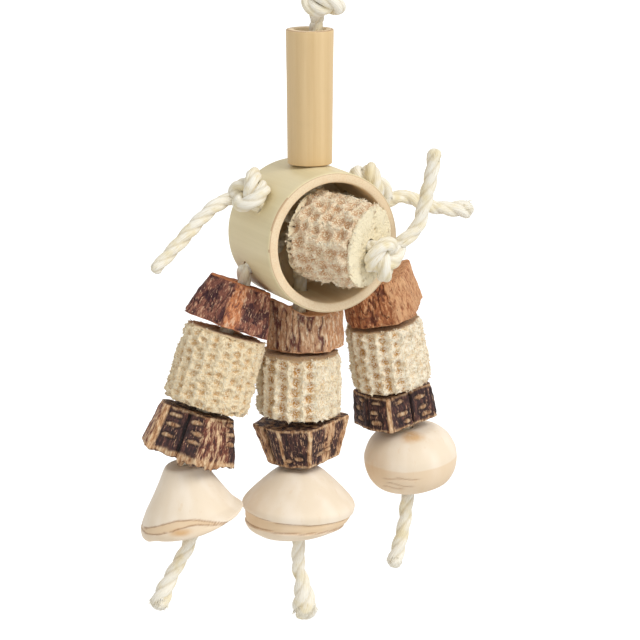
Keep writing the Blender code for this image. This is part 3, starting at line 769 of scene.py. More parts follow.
def pod_finish(name, place, rubbed, fresh):
    """A dry pod: nearly black skin with pale scars, streaks of bare fibre, tan where it is cut, and
    painted shade in its grooves and round its scars. The higher rubbed is, the more of its skin is worn
    pale."""
    finish, tree, shader = new_finish(name, 0.65, 0.35)
    vector = on_piece(tree, place)
    fibre = long_fibres(tree, vector, 620.0, 4.5)[0]
    fleck = long_fibres(tree, vector, 1500.0, 5.0)[0]
    grit, blotch = fine_grit(tree, vector, 1000.0)
    share = plus(tree, times(tree, fibre, 0.6), times(tree, fleck, 0.4))
    tan = ramp(
        tree, share, (0.38, colour(120, 74, 48)), (0.47, colour(196, 148, 104)),
        (0.6, colour(236, 208, 168)),
    )
    tint = ramp(
        tree, share, (0.36, colour(30, 20, 20)), (0.5, colour(62, 38, 36)), (0.58, colour(96, 60, 52)),
        (0.68, colour(150, 104, 82)),
    )
    bare = ramp(tree, share, (0.40, colour(66, 36, 32)), (0.49, fresh), (0.6, colour(230, 196, 154)))
    tint = mix(tree, mask(tree, "streak"), tint, bare)
    rub = plus(tree, fleck, times(tree, blotch, 0.3))
    tint = wash(tree, level(tree, rub, 0.78 - rubbed, 0.86 - rubbed), 0.85, tint, colour(206, 164, 128))
    # Painted shade: near black in the grooves and in a ring round each raised scar.
    tint = mix(tree, mask(tree, "shaded_groove"), tint, colour(22, 15, 15))
    tint = mix(tree, mask(tree, "scar"), tint, tan)
    height = plus(tree, share, times(tree, grit, 0.35))
    join(tree, shader, tint, bump(tree, height, 0.0009, 0.85))
    return finish


def wood_finish(name, place, strength):
    """Turned pale wood: faint long grain, the edges and stains of its layers near the foot, and broad
    painted warm shade on the left of the middle and right tops.
    """
    finish, tree, shader = new_finish(name, 0.62, 0.3)
    vector = on_piece(tree, place)
    fibre, band = long_fibres(tree, vector, 420.0, 14.0)
    grit = fine_grit(tree, vector, 800.0)[0]
    tint = mix(tree, level(tree, band, 0.36, 0.66), colour(238, 221, 196), colour(245, 231, 211))
    tint = wash(tree, level(tree, fibre, 0.42, 0.3), 0.3, tint, colour(228, 200, 162))
    tint = wash(tree, mask(tree, "foot"), 0.66 * strength, tint, colour(226, 190, 142))
    # Stains, and on the middle and right tops broad painted warm shade on their left sides.
    streaky = times(tree, mask(tree, "stain_and_shade"), level(tree, fibre, 0.10, 0.6))
    tint = wash(tree, streaky, 0.75, tint, colour(214, 164, 100))
    broken = plus(tree, times(tree, level(tree, grit, 0.6, 0.8), 0.2), 0.6)
    tint = wash(tree, mask(tree, "layer"), times(tree, broken, strength), tint, colour(158, 114, 78))
    join(tree, shader, tint, bump(tree, fibre, 0.0001, 0.35))
    return finish


ROPE = rope_finish()
FIBRE = loose_finish(
    "loose_fibre", 0.9, 0.25, 300.0, (0.3, colour(236, 225, 196)), (0.6, colour(252, 247, 233)),
)
CHAFF = loose_finish(
    "dry_chaff", 0.95, 0.1, 260.0, (0.35, colour(224, 198, 156)), (0.62, colour(250, 240, 216)),
)


# Camera, light and floor.

def set_camera():
    """The photograph's view. Gives the way back to the camera and the way to the picture's right."""
    flat = math.cos(CAMERA_HEIGHT)
    back = Vector((math.sin(CAMERA_TURN) * flat, -math.cos(CAMERA_TURN) * flat, math.sin(CAMERA_HEIGHT)))
    sideways = Vector((math.cos(CAMERA_TURN), math.sin(CAMERA_TURN), 0.0))
    target = from_ring(0.0, 0.0, TARGET_RISE) + sideways * TARGET_RIGHT
    turn = (-back).to_track_quat("-Z", "Y").to_euler()
    bpy.ops.object.camera_add(location=target + back * CAMERA_DISTANCE, rotation=turn)
    camera = bpy.context.object
    camera.data.sensor_width = SENSOR_WIDTH
    camera.data.lens = SENSOR_WIDTH / 2 / math.tan(CAMERA_VIEW / 2)
    scene.camera = camera
    return back, sideways


def set_light(back, sideways):
    """A white studio: soft light all round, and a broad key from the upper right of the camera."""
    scene.view_settings.view_transform = "Standard"
    world = bpy.data.worlds.new("white_studio")
    scene.world = world
    world.use_nodes = True
    tree = world.node_tree
    tree.nodes.clear()
    path = node(tree, "LightPath").outputs
    seen = math_node(tree, "MAXIMUM", path["Is Camera Ray"], path["Is Glossy Ray"])
    seen = math_node(tree, "MAXIMUM", seen, path["Is Transmission Ray"])
    sky = node(tree, "Background", {"Color": WHITE, "Strength": SKY_STRENGTH})
    paper = node(tree, "Background", {"Color": WHITE, "Strength": 1.0})
    both = node(tree, "MixShader", {0: seen, 1: sky.outputs[0], 2: paper.outputs[0]})
    node(tree, "OutputWorld", {"Surface": both.outputs[0]})
    right_part, back_part, up_part = KEY_PARTS
    key_way = (sideways * right_part + back * back_part + UP * up_part).normalized()
    turn = key_way.to_track_quat("Z", "Y").to_euler()
    bpy.ops.object.light_add(type="SUN", location=key_way, rotation=turn)
    key = bpy.context.object
    key.name = "key_light"
    key.data.energy = KEY_STRENGTH
    key.data.angle = KEY_WIDTH


def set_floor():
    """A pale floor well below the toy, lifted towards white where the camera sees it."""
    bpy.ops.mesh.primitive_plane_add(size=12.0, location=(0.0, 0.0, cad_box[0][2] - FLOOR_DROP))
    floor = bpy.context.object
    floor.name = "floor"
    finish = bpy.data.materials.new("pale_floor")
    finish.use_nodes = True
    tree = finish.node_tree
    tree.nodes.clear()
    matt = node(tree, "BsdfDiffuse", {"Color": FLOOR_TINT})
    lift = times(tree, node(tree, "LightPath").outputs["Is Camera Ray"], FLOOR_LIFT)
    paper = node(tree, "Emission", {"Color": WHITE, "Strength": lift})
    both = node(tree, "AddShader", {0: matt.outputs[0], 1: paper.outputs[0]})
    node(tree, "OutputMaterial", {"Surface": both.outputs[0]})
    floor.data.materials.append(finish)


# Rope.

def rope_frames(route):
    """(place, forward, side, length so far) at each place, with a side that doesn't twist by itself."""
    frames = []
    side = (route[1] - route[0]).orthogonal().normalized()
    along = 0.0
    for index, place in enumerate(route):
        before, after = route[max(index - 1, 0)], route[min(index + 1, len(route) - 1)]
        ahead = (after - before).normalized()
        side = (side - ahead * side.dot(ahead)).normalized()
        if index:
            along += (place - route[index - 1]).length
        frames.append((place, ahead, side, along))
    return frames


def strand_outline(share):
    """How far three strands laid together reach, as a part of the rope's radius."""
    off_crown = (share * 3 % 1.0 - 0.5) * math.tau / 3
    reach, wide = 0.37, 0.63
    return reach * math.cos(off_crown) + math.sqrt(wide ** 2 - (reach * math.sin(off_crown)) ** 2)


def lay_rope(name, frames, radii, round_start=False, round_end=True):
    """Three-strand rope along frames. radii gives its radius at each frame."""
    sides = 3 * STRAND_SIDES
    rows = [(*frame_here, radius) for frame_here, radius in zip(frames, radii)]
    if round_start:
        rows = rope_tip(rows[0], -1) + rows
    if round_end:
        rows = rows + rope_tip(rows[-1], 1)
    points, faces, lay_map = [], [], []
    for place, ahead, side, along, radius in rows:
        other = ahead.cross(side)
        turn = math.tau * along / LAY + 0.3 * noise.noise(place * 60)
        swell = 1.0 + 0.05 * noise.noise(place * 150)
        for index in range(sides):
            share = index / sides
            reach = radius * swell * strand_outline(share)
            angle = math.tau * share + turn
            points.append(place + (side * math.cos(angle) + other * math.sin(angle)) * reach)
    for row in range(len(rows) - 1):
        low, high = rows[row][3], rows[row + 1][3]
        here, above = row * sides, (row + 1) * sides
        for index in range(sides):
            after = (index + 1) % sides
            faces.append((here + index, here + after, above + after, above + index))
            near, far = index / sides, (index + 1) / sides
            lay_map += [(near, low), (far, low), (far, high), (near, high)]
    last = (len(rows) - 1) * sides
    faces.append(tuple(reversed(range(sides))))
    lay_map += [(1 - index / sides, rows[0][3]) for index in range(1, sides + 1)]
    faces.append(tuple(range(last, last + sides)))
    lay_map += [(index / sides, rows[-1][3]) for index in range(sides)]
    piece = mesh_piece(name, points, faces, ROPE)
    layer = piece.data.uv_layers.new(name="rope_lay")
    for corner, spot in zip(layer.data, lay_map):
        corner.uv = spot
    return piece


def rope_tip(row, way):
    """Rows that close a rope with a rounded end."""
    place, ahead, side, along, radius = row
    tip = []
    for reach, scale in ((0.35, 0.93), (0.6, 0.78), (0.78, 0.5), (0.84, 0.2)):
        off = way * reach * radius
        tip.append((place + ahead * off, ahead, side, along + off, radius * scale))
    return tip if way > 0 else tip[::-1]


def fray(name, frame_at_end, radius, size, seed):
    """A brush of loose fibres at a rope's end, as thin curved three-sided slivers. size gives their
    length, how far they spread and how many they are."""
    place, ahead, side = frame_at_end[:3]
    length, spread, count = size
    other = ahead.cross(side)
    chance = random.Random(seed)
    points, faces = [], []
    for _ in range(count):
        ring = math.sqrt(chance.random())
        angle = chance.uniform(0, math.tau)
        outward_way = side * math.cos(angle) + other * math.sin(angle)
        root = place + outward_way * (ring * radius * 0.9) - ahead * FRAY_ROOT
        reach = length * chance.uniform(0.55, 1.0) + FRAY_ROOT
        drift = outward_way * (spread * ring * chance.uniform(0.4, 1.2))
        drift += Vector((chance.uniform(-1, 1), chance.uniform(-1, 1), chance.uniform(-1, 1))) * 0.16
        thick = chance.uniform(0.00016, 0.00030)
        add_sliver(points, faces, root, ahead, drift, reach, thick, 5)
    return mesh_piece(name, points, faces, FIBRE)


def add_sliver(points, faces, root, ahead, drift, reach, thick, steps):
    """One fibre: a three-sided tapered tube that drifts sideways as it goes."""
    side = ahead.orthogonal().normalized()
    other = ahead.cross(side)
    start = len(points)
    for step in range(steps + 1):
        share = step / steps
        middle = root + ahead * (reach * share) + drift * (reach * share * share)
        wide = thick * (1.0 - 0.75 * share)
        for corner in range(3):
            angle = math.tau * corner / 3
            points.append(middle + (side * math.cos(angle) + other * math.sin(angle)) * wide)
    close_tube(faces, start, 3, steps)


def free_end(name, body, frames, radii, fray_size, seed):
    """A free rope end with its frayed tip."""
    cord = lay_rope(name + "_laid", frames, radii)
    dress(cord, body, "rope", name)
    brush = fray(name + "_fray", frames[-1], radii[-1], fray_size, seed)
    dress(brush, body, "rope")


def flared(count, start, finish, tip, share):
    """Radii along a rope: from start soon to finish, and over its last share on to tip."""
    radii = []
    for index in range(count):
        part = index / (count - 1)
        radius = start + (finish - start) * smooth(part, 0.0, 0.12)
        radii.append(radius + (tip - finish) * smooth(part, 1.0 - share, 1.0))
    return radii


def make_knot_and_tail(name, seat, out, across, tail, tip, fray_size, seed):
    """A knot against a seat and the free end that leaves it, as one lay of rope in two pieces."""
    body = overhand(seat, out, across, KNOT_EXIT)
    exit_way = (body[-1] - body[-2]).normalized()
    first = body[-1] + exit_way * FACE_GAP
    knot_route = smooth_route(body, ROPE_STEP)
    lead = [first, first + exit_way * TAIL_LEAD]
    tail_route = smooth_route(lead + [from_ring(*spot) for spot in tail], ROPE_STEP)
    frames = rope_frames(knot_route + tail_route)
    split = len(knot_route)
    knot_end = split + KNOT_OVERLAP
    knot_radii = [KNOT_THICKNESS / 2] * knot_end
    knot = lay_rope(name + "_knot_laid", frames[:knot_end], knot_radii, round_end=False)
    dress(knot, "ring", "rope", name + "_knot")
    radii = flared(len(tail_route), KNOT_THICKNESS / 2, ROPE_THICKNESS / 2, tip, 0.3)
    free_end(name + "_tail", "ring", frames[split:], radii, fray_size, seed)
    return body[0]


def make_side_knot(side, spot, down, turn, tail, tip, fray_size, seed):
    angle, y = spot
    out = Vector((math.cos(angle), 0.0, math.sin(angle)))
    across = Vector((-math.sin(angle), 0.0, math.cos(angle))) * down
    across.rotate(Matrix.Rotation(turn, 3, out))
    return make_knot_and_tail(side, on_ring(angle, RING_RADIUS, y), out, across, tail, tip, fray_size, seed)


def make_plain_rope(name, body, points, thickness=ROPE_THICKNESS, round_start=False):
    route = smooth_route(points, ROPE_STEP)
    piece = lay_rope(name + "_laid", rope_frames(route), [thickness / 2] * len(route), round_start)
    dress(piece, body, "rope", name)


def make_cross_rope(name, low_angle, high, middle):
    low = on_ring(low_angle, RING_RADIUS - ROPE_SINK, STRAND_Y)
    low_in = on_ring(low_angle, RING_BORE_RADIUS - HOLE_LEAD, STRAND_Y)
    centre_way = (from_ring(0.0, high.y - RING_CENTRE.y, 0.0) - high).normalized()
    start = high + centre_way * FACE_GAP
    start_in = high + centre_way * (RING_WALL + HOLE_LEAD)
    make_plain_rope(name, "ring", [start, start_in, from_ring(*middle), low_in, low], ROPE_DIAMETER)


def make_wrapped_knot(name, body, middle, up, radius, length):
    """A stopper knot drawn up hard: two close turns of the rope round itself."""
    side = up.orthogonal().normalized()
    other = up.cross(side)
    thick = min(WRAP_THICKNESS, length * 0.62)
    route = []
    for index in range(WRAP_POINTS):
        share = index / (WRAP_POINTS - 1)
        angle = math.tau * WRAP_TURNS * share
        reach = (radius - thick / 2) * (0.72 + 0.28 * math.sin(math.pi * share))
        rise = (share - 0.5) * (length - thick)
        route.append(middle + (side * math.cos(angle) + other * math.sin(angle)) * reach + up * rise)
    piece = lay_rope(name + "_wrapped", rope_frames(route), [thick / 2] * len(route), True)
    dress(piece, body, "rope", name)


def make_hanging_rope():
    pivot = RING_CENTRE + SWING_PIVOT
    seat = pivot + UP * (ROPE_RADIUS + FACE_GAP + KNOT_SINK)
    body = overhand(seat, UP, HANGING_KNOT_WAY.normalized(), KNOT_ENTRY)
    for spot in body:
        spot.x = seat.x + (spot.x - seat.x) * HANGING_KNOT_DRAW
        spot.y = seat.y + (spot.y - seat.y) * HANGING_KNOT_DRAW
    top = body[-1] + UP * KNOT_TOP_RISE
    knot_route = smooth_route(body + [top - UP * (0.42 * KNOT_TOP_RISE), top], ROPE_STEP)
    crown = Vector((0.0, 0.0, ROPE_RADIUS))
    first = top + UP * FACE_GAP
    knot_top = max(spot.z for spot in body) + KNOT_ROPE / 2
    last = Vector((seat.x - KNOT_SINK, seat.y, knot_top + 2 * FACE_GAP))
    loop_route = smooth_route([
        first, first + UP * LOOP_LEAD, Vector((LOOP_REACH, 0.0, -LOOP_SIDE_DROP)),
        Vector((LOOP_HAUNCH, 0.0, -LOOP_HAUNCH_DROP)), crown, Vector((-LOOP_HAUNCH, 0.0, -LOOP_HAUNCH_DROP)),
        Vector((-LOOP_REACH, 0.0, -LOOP_SIDE_DROP)), last + UP * LOOP_LEAD, last - UP * 0.002,
    ], ROPE_STEP)
    frames = rope_frames(knot_route + loop_route)
    split = len(knot_route)
    knot_end = split + KNOT_OVERLAP
    knot = lay_rope("hanging_knot_laid", frames[:knot_end], [KNOT_THICKNESS / 2] * knot_end, True, False)
    dress(knot, "hanger", "rope", "hanging_knot")
    radii = flared(len(loop_route), KNOT_THICKNESS / 2, ROPE_DIAMETER / 2, KNOT_THICKNESS / 2, 0.1)
    loop = lay_rope("hanging_loop_laid", frames[split:], radii)
    dress(loop, "hanger", "rope", "hanging_loop")

    exit_place = from_ring(0.0, TOP_HOLE_Y, RING_BORE_RADIUS + HOLE_LEAD / 2)
    above_ring = from_ring(0.3 * SWING_PIVOT.x, TOP_HOLE_Y, RING_RADIUS + 0.35 * TUBE_LENGTH)
    make_plain_rope("hanging_rope", "hanging_rope", [
        pivot, pivot - UP * (2 * ROPE_DIAMETER), above_ring, exit_place + UP * (2 * HOLE_LEAD), exit_place,
    ], ROPE_THICKNESS, True)
    stub = exit_place - UP * FACE_GAP
    make_plain_rope("hanging_rope_end", "ring", [stub, stub - UP * 0.006, stub - UP * 0.0130])
    middle = from_ring(0.0, TOP_HOLE_Y, RING_BORE_RADIUS - TOP_STOPPER_LENGTH / 2 - 0.0010)
    make_wrapped_knot("top_stopper_knot", "ring", middle, UP, TOP_STOPPER_RADIUS, TOP_STOPPER_LENGTH)


def ring_cob_way():
    flat = math.cos(RING_COB_DIP)
    return Vector((math.sin(RING_COB_TURN) * flat, -math.cos(RING_COB_TURN) * flat, -math.sin(RING_COB_DIP)))


def make_cob_rope():
    forward = ring_cob_way()
    back = RING_CENTRE + RING_COB_BACK
    front = back + forward * RING_COB_LENGTH
    angle = math.radians(STRANDS["middle"]["angle"])
    hole = on_ring(angle, RING_RADIUS - ROPE_SINK, STRAND_Y)
    hole_in = on_ring(angle, RING_BORE_RADIUS, STRAND_Y)
    make_plain_rope("cob_rope", "ring", [
        hole, hole_in, *(from_ring(*spot) for spot in COB_ROPE_ROUTE), back - forward * 0.0036, back,
        front - forward * (KNOT_SINK + FACE_GAP),
    ], ROPE_DIAMETER)
    right = UP.cross(forward).normalized()
    across = right * math.cos(COB_KNOT_TILT) + forward.cross(right) * math.sin(COB_KNOT_TILT)
    make_knot_and_tail("cob", front, forward, across, COB_TAIL, 0.0031, (0.0010, 0.2, 60), 31)


def strand_layout(strand):
    """Where each piece of a strand stands, and the route of its rope."""
    angle = math.radians(strand["angle"])
    pivot = on_ring(angle, RING_RADIUS - ROPE_SINK + FACE_GAP + ROPE_RADIUS, STRAND_Y)
    lead_lean, lead_length = strand["lead"]
    top = pivot - lean_axis(lead_lean) * lead_length
    route, places = [pivot], {}
    for kind in ("bark_slice", "cob", "pod_slice", "wood_top"):
        piece = strand[kind]
        up = lean_axis(piece["lean"])
        if kind != "bark_slice":
            top = top - last_up * piece["gap"] + Vector((piece.get("shift", 0.0), 0.0, 0.0))
        places[kind] = placing(top, up)
        length = piece.get("length") or piece["profile"][-1][1]
        route += [top - up * (length * part) for part in (0.0, 0.25, 0.75, 1.0)]
        top = top - up * length
        last_up = up
    knot_middle = top + last_up * (STOPPER_RECESS - STOPPER_LENGTH / 2 - STOPPER_CLEAR)
    rope_foot = knot_middle - last_up * (STOPPER_LENGTH / 2)
    route[-1] = rope_foot
    first = rope_foot - last_up * (2.5 * FACE_GAP)
    end = [first, first - last_up * TAIL_LEAD] + [first + Vector((x, 0.0, z)) for x, z in strand["end"]]
    return places, route, knot_middle, last_up, end


def make_strand_rope(side, layout, tip, fray_size, seed):
    route, knot_middle, up, end = layout[1:]
    body = side + "_strand"
    rope_route = smooth_route(route, ROPE_STEP)
    end_route = smooth_route(end, ROPE_STEP)
    frames = rope_frames(rope_route + end_route)
    split = len(rope_route)
    rope = lay_rope(side + "_strand_rope_laid", frames[:split], [ROPE_THICKNESS / 2] * split, True, False)
    dress(rope, body, "rope", side + "_strand_rope")
    make_wrapped_knot(side + "_stopper_knot", body, knot_middle, up, STOPPER_RADIUS, STOPPER_LENGTH)
    radii = flared(len(end_route), ROPE_THICKNESS / 2, ROPE_THICKNESS / 2, tip, 0.4)
    free_end(side + "_rope_end", body, frames[split:], radii, fray_size, seed)


# Bamboo.

def off_axis(spot, middle, axis):
    """How far a spot is from the axis through middle."""
    off = spot - middle
    return (off - axis * off.dot(axis)).length


def hollow_cane(name, sides, radius, bore, length, middle, turn, axis, edge):
    """A length of cane: a cylinder with both ends inset, bridged through and eased at the rims."""

    def on_rim(a, b):
        at_end = abs(abs((a - middle).dot(axis)) - length / 2) < 1e-5
        crossways = abs((a - b).dot(axis)) < 1e-6
        return at_end and crossways and abs(off_axis(a, middle, axis) - off_axis(b, middle, axis)) < 1e-5

    cane = add_cylinder(name, sides, radius, length, middle, turn)
    edit(cane)
    pick_faces(cane, lambda spot, way: abs(way.dot(axis)) > 0.9)
    bpy.ops.mesh.inset(thickness=radius - bore)
    bpy.ops.mesh.bridge_edge_loops()
    pick_edges(cane, on_rim)
    bpy.ops.mesh.bevel(offset=edge, segments=3, affect="EDGES")
    pick_edges(cane, lambda a, b: abs((a - b).dot(axis)) > length * 0.5)
    bpy.ops.mesh.subdivide(number_cuts=14)
    done()
    outward(cane)
    return cane


def give_cane_finishes(cane, middle, axis, outer, inner, length, finishes):
    """Skin outside, sawn end grain on the rims and hole walls, and the raw inside."""
    for finish in finishes:
        cane.data.materials.append(finish)
    for face in cane.data.polygons:
        away = off_axis(face.center, middle, axis)
        between_ends = abs((face.center - middle).dot(axis)) < length / 2 - 0.0002
        skin = away > outer - 0.0005 and between_ends
        inside = away < inner + 0.0005 and between_ends
        face.material_index = 0 if skin else 2 if inside else 1


def make_ring():
    axis = Vector((0.0, 1.0, 0.0))
    ring = hollow_cane(
        "bamboo_ring_cane", 144, RING_RADIUS, RING_BORE_RADIUS, RING_LENGTH, RING_CENTRE,
        (math.radians(90), 0.0, 0.0), axis, 0.0009,
    )
    roughen(ring, 0.030, 0.0005)
    wall_y = RING_LENGTH / 2 - NODE_SETBACK - NODE_WALL / 2
    wall = hollow_cane(
        "node_wall", 144, RING_BORE_RADIUS + 0.0012, NODE_HOLE, NODE_WALL, from_ring(0.0, wall_y, 0.0),
        (math.radians(90), 0.0, 0.0), axis, 0.0002,
    )
    apply_modifier(ring, "BOOLEAN", object=wall, operation="UNION", solver="EXACT")
    bpy.data.objects.remove(wall, do_unlink=True)
    holes = [(math.radians(90), TOP_HOLE_Y), LEFT_KNOT, RIGHT_KNOT]
    holes += [(math.radians(strand["angle"]), STRAND_Y) for strand in STRANDS.values()]
    for angle, y in holes:
        inner_end = on_ring(angle, RING_BORE_RADIUS - HOLE_LEAD, y)
        outer_end = on_ring(angle, RING_RADIUS + HOLE_LEAD, y)
        drill(ring, inner_end, outer_end, ROPE_RADIUS + HOLE_CLEAR)
    edit(ring)
    bpy.ops.mesh.select_all(action="SELECT")
    bpy.ops.mesh.remove_doubles(threshold=0.00002)
    bpy.ops.mesh.dissolve_degenerate(threshold=0.00002)
    done()
    place = placing(RING_CENTRE, axis)
    give_cane_finishes(ring, RING_CENTRE, axis, RING_RADIUS, RING_BORE_RADIUS, RING_LENGTH, (
        bamboo_skin_finish("bamboo_pale_skin", place, colour(222, 206, 162), colour(231, 216, 174), 0.46),
        bamboo_rim_finish(place, RING_RADIUS), bamboo_inside_finish(place),
    ))
    smooth_shade(ring, 35)
    dress(ring, "ring", "bamboo_pale", "bamboo_ring")


def make_tube():
    foot = from_ring(0.0, TOP_HOLE_Y, RING_RADIUS + FACE_GAP)
    middle = foot + UP * (TUBE_LENGTH / 2)
    tube = hollow_cane(
        "bamboo_tube_cane", 72, TUBE_TOP_RADIUS, TUBE_BORE, TUBE_LENGTH, middle, (0.0, 0.0, 0.0), UP, 0.0006,
    )
    narrow = TUBE_FOOT_RADIUS / TUBE_TOP_RADIUS
    for vertex in tube.data.vertices:
        share = (vertex.co.z - foot.z) / TUBE_LENGTH
        scale = TUBE_SWELL * (narrow + (1 - narrow) * share)
        off = vertex.co - foot
        if math.hypot(off.x, off.y) > TUBE_BORE + 0.001:
            vertex.co.x = foot.x + off.x * scale
            vertex.co.y = foot.y + off.y * scale
    roughen(tube, 0.020, 0.0003)
    place = placing(foot, UP)
    give_cane_finishes(tube, middle, UP, TUBE_FOOT_RADIUS, TUBE_BORE, TUBE_LENGTH, (
        bamboo_skin_finish("bamboo_tan_skin", place, colour(213, 182, 132), colour(225, 196, 148), 0.5),
        bamboo_rim_finish(place, TUBE_TOP_RADIUS), bamboo_inside_finish(place),
    ))
    smooth_shade(tube, 35)
    dress(tube, "tube", "bamboo_tan", "bamboo_tube")


# Corn cobs.

def socket_off(around, down, sockets, seed):
    """How far a spot on a cob's side is from the nearest kernel socket: 0 in its middle, 1 at its edge.
    Sockets stand in columns, every second column half a step lower, and none quite in line."""
    columns, pitch, wide, tall, _, stray = sockets
    girth = math.tau / columns
    column_here = math.floor(around / girth)
    row_here = math.floor(down / pitch)
    nearest = 9.0
    for column in range(column_here - 1, column_here + 3):
        for row in range(row_here - 1, row_here + 3):
            turn = noise.cell_vector(Vector((column % columns + 0.5, row + 40.5, seed + 0.5)))
            middle = column + stray * (turn.x - 0.5)
            height = row + 0.5 * (column % 2) + stray * (turn.y - 0.5)
            size = 1.0 + stray * (turn.z - 0.5)
            off = math.hypot((around / girth - middle) / wide, (down / pitch - height) / tall) / size
            nearest = min(nearest, off)
    return nearest


def cob_shape(length, sockets, worn, ease, rough, seed):
    """Carving of a cob: sockets with a raised lip between long ridges, crumbled edges, and a worn
    side if it has one. Its first mask is the sockets' own brown with painted shade in them and down
    their columns, less on the worn side; the second is the sawn ends."""
    columns, depth = sockets[0], sockets[4]
    shift = Vector((seed, 0.0, 0.0))

    def shape(spot, way):
        crumb = noise.noise(spot * 900 + shift) + 0.7 * noise.noise(spot * 420 + shift)
        if math.hypot(spot.x, spot.y) < BEAD_BORE + 0.0006:
            return 0.0, 0.3, 1.0
        flank = 1.0 - smooth(abs(way.z) + 0.25 * crumb, 0.60, 0.95)
        end = min(-spot.z, spot.z + length)
        angle = math.atan2(spot.y, spot.x) % math.tau
        sway = 0.25 * noise.noise(spot * 260 + shift)
        off = socket_off(angle, -spot.z, sockets, seed) + 0.30 * rough * crumb + sway
        fresh = 1.0 - 0.65 * max([in_window(math.degrees(angle), *side, 14.0) for side in worn] + [0.0])
        pit = smooth(off, 1.5, 0.1) * flank * fresh
        lip = smooth(off, 1.8, 1.4) * smooth(off, 1.05, 1.3) * flank * fresh
        between = abs((angle / math.tau * columns + 0.5 * sway) % 1.0 - 0.5)
        ridge = smooth(between, 0.22, 0.04) * flank * (1.0 - pit)
        # Painted shade down the middle of each column of sockets, kept off the worn side.
        shaded_valley = smooth(between, 0.25, 0.48) * flank * fresh
        broken = max(0.0, noise.noise(spot * 240 + shift) + 0.25) * smooth(end, 0.0030, 0.0)
        push = 0.00032 * rough * crumb + 0.0006 * noise.noise(spot * 190 + shift)
        push += 0.00028 * lip + 0.00060 * ridge - depth * pit
        push -= flank * ((0.0012 + ease) * broken + ease * smooth(end, 0.0030, 0.0) ** 2)
        return push, 0.9 * pit + 0.45 * shaded_valley - 0.35 * ridge, 1.0 - flank

    return shape


def make_cob(name, place, radii, length, finish, sockets, worn, ease, rough, seed):
    """A cob with its kernels gone: a fine-meshed cylinder with a bore, carved with sockets."""
    cob = add_cylinder(name + "_husked", COB_SIDES, radii[0], length, (0.0, 0.0, -length / 2))
    edit(cob)
    pick_faces(cob, lambda spot, way: way.z < -0.9)
    bpy.ops.transform.resize(value=(radii[1] / radii[0], radii[1] / radii[0], 1.0))
    for up, radius in ((1, radii[0]), (-1, radii[1])):
        pick_faces(cob, lambda spot, way: way.z * up > 0.9)
        for _ in range(COB_END_RINGS):
            bpy.ops.mesh.inset(thickness=(radius - BEAD_BORE) / COB_END_RINGS)
    pick_faces(cob, lambda spot, way: abs(way.z) > 0.9 and math.hypot(spot.x, spot.y) < 0.0002)
    bpy.ops.mesh.bridge_edge_loops()
    wide = BEAD_BORE + 0.004
    pick_edges(cob, lambda a, b: abs(a.z - b.z) > length * 0.9 and math.hypot(a.x, a.y) > wide)
    bpy.ops.mesh.subdivide(number_cuts=round(length / COB_STEP))
    done()
    outward(cob)
    carve(cob, cob_shape(length, sockets, worn, ease, rough, seed), ("socket_and_shade", "sawn"))
    return set_in_place(cob, name, "corn_cob", finish, 60, place)


def make_chaff(cob_name, cob, along, count, size, seed):
    """Papery flakes that stand up from a cob's ridges, most of them along it. One flake's form, laid
    many times."""
    chance = random.Random(seed)
    mesh = cob.data
    socket_and_shade = mesh.attributes["socket_and_shade"].data
    ridge = []
    for vertex in mesh.vertices:
        if socket_and_shade[vertex.index].value < 0.3 and abs(vertex.normal.dot(along)) < 0.75:
            ridge.append(vertex.index)
    points, faces = [], []
    for index in chance.sample(ridge, count):
        vertex = mesh.vertices[index]
        way = vertex.normal
        side = (along - way * along.dot(way) + way.orthogonal() * 0.01).normalized()
        side.rotate(Matrix.Rotation(chance.gauss(0, 0.6), 3, way))
        reach = size * chance.uniform(0.5, 1.0)
        wide = size * chance.uniform(0.16, 0.36)
        lean = (way * chance.uniform(0.10, 0.55) + side * chance.choice((-0.8, 0.8))).normalized()
        across = lean.cross(way).normalized()
        root = vertex.co - way * 0.0002
        start = len(points)
        for share, part in ((0.0, 0.8), (0.5, 1.0), (1.0, 0.35)):
            middle = root + lean * (reach * share) + way * (reach * 0.25 * share * share)
            half = across * (wide * part)
            lift = way * 0.00006
            points.extend((middle - half, middle + lift, middle + half, middle - lift))
        close_tube(faces, start, 4, 2)
    piece = mesh_piece(cob_name + "_chaff", points, faces, CHAFF)
    outward(piece)
    dress(piece, cob_name, "corn_cob")


# Bark and pod slices.

def sawn_block(name, corners, length):
    """A block with split faces between its corners, eased, bored and remeshed for carving."""
    block = add_cylinder(name, len(corners), 0.015, length, (0.0, 0.0, -length / 2))
    edit(block)
    shape = bmesh.from_edit_mesh(block.data)
    for end in (1, 2):
        ring = [vertex for vertex in shape.verts if (vertex.co.z > -length / 2) == (end == 1)]
        ring.sort(key=lambda vertex: math.atan2(vertex.co.y, vertex.co.x) % math.tau)
        for vertex, corner in zip(ring, sorted(corners)):
            vertex.co.x = corner[end] * math.cos(math.radians(corner[0]))
            vertex.co.y = corner[end] * math.sin(math.radians(corner[0]))
    bmesh.update_edit_mesh(block.data)
    pick_edges(block, lambda a, b: abs(a.z - b.z) > length * 0.9)
    bpy.ops.mesh.bevel(offset=0.0013, segments=2, affect="EDGES")
    pick_edges(block, lambda a, b: abs(a.z - b.z) < 1e-5)
    bpy.ops.mesh.bevel(offset=0.0003, segments=1, affect="EDGES")
    done()
    drill(block, Vector((0, 0, 0.002)), Vector((0, 0, -length - 0.002)), BEAD_BORE)
    apply_modifier(block, "REMESH", mode="VOXEL", voxel_size=SLICE_GRAIN)
    return block


def angle_of(spot):
    return math.degrees(math.atan2(spot.y, spot.x)) % 360


def apart(angle, other):
    """The least turn between two angles, in degrees."""
    return abs((angle - other + 180) % 360 - 180)


def in_window(angle, start, finish, ease):
    """1 between two angles, and 0 a little outside them."""
    half = ((finish - start) % 360) / 2
    return smooth(half + ease - apart(angle, start + half), 0.0, ease)


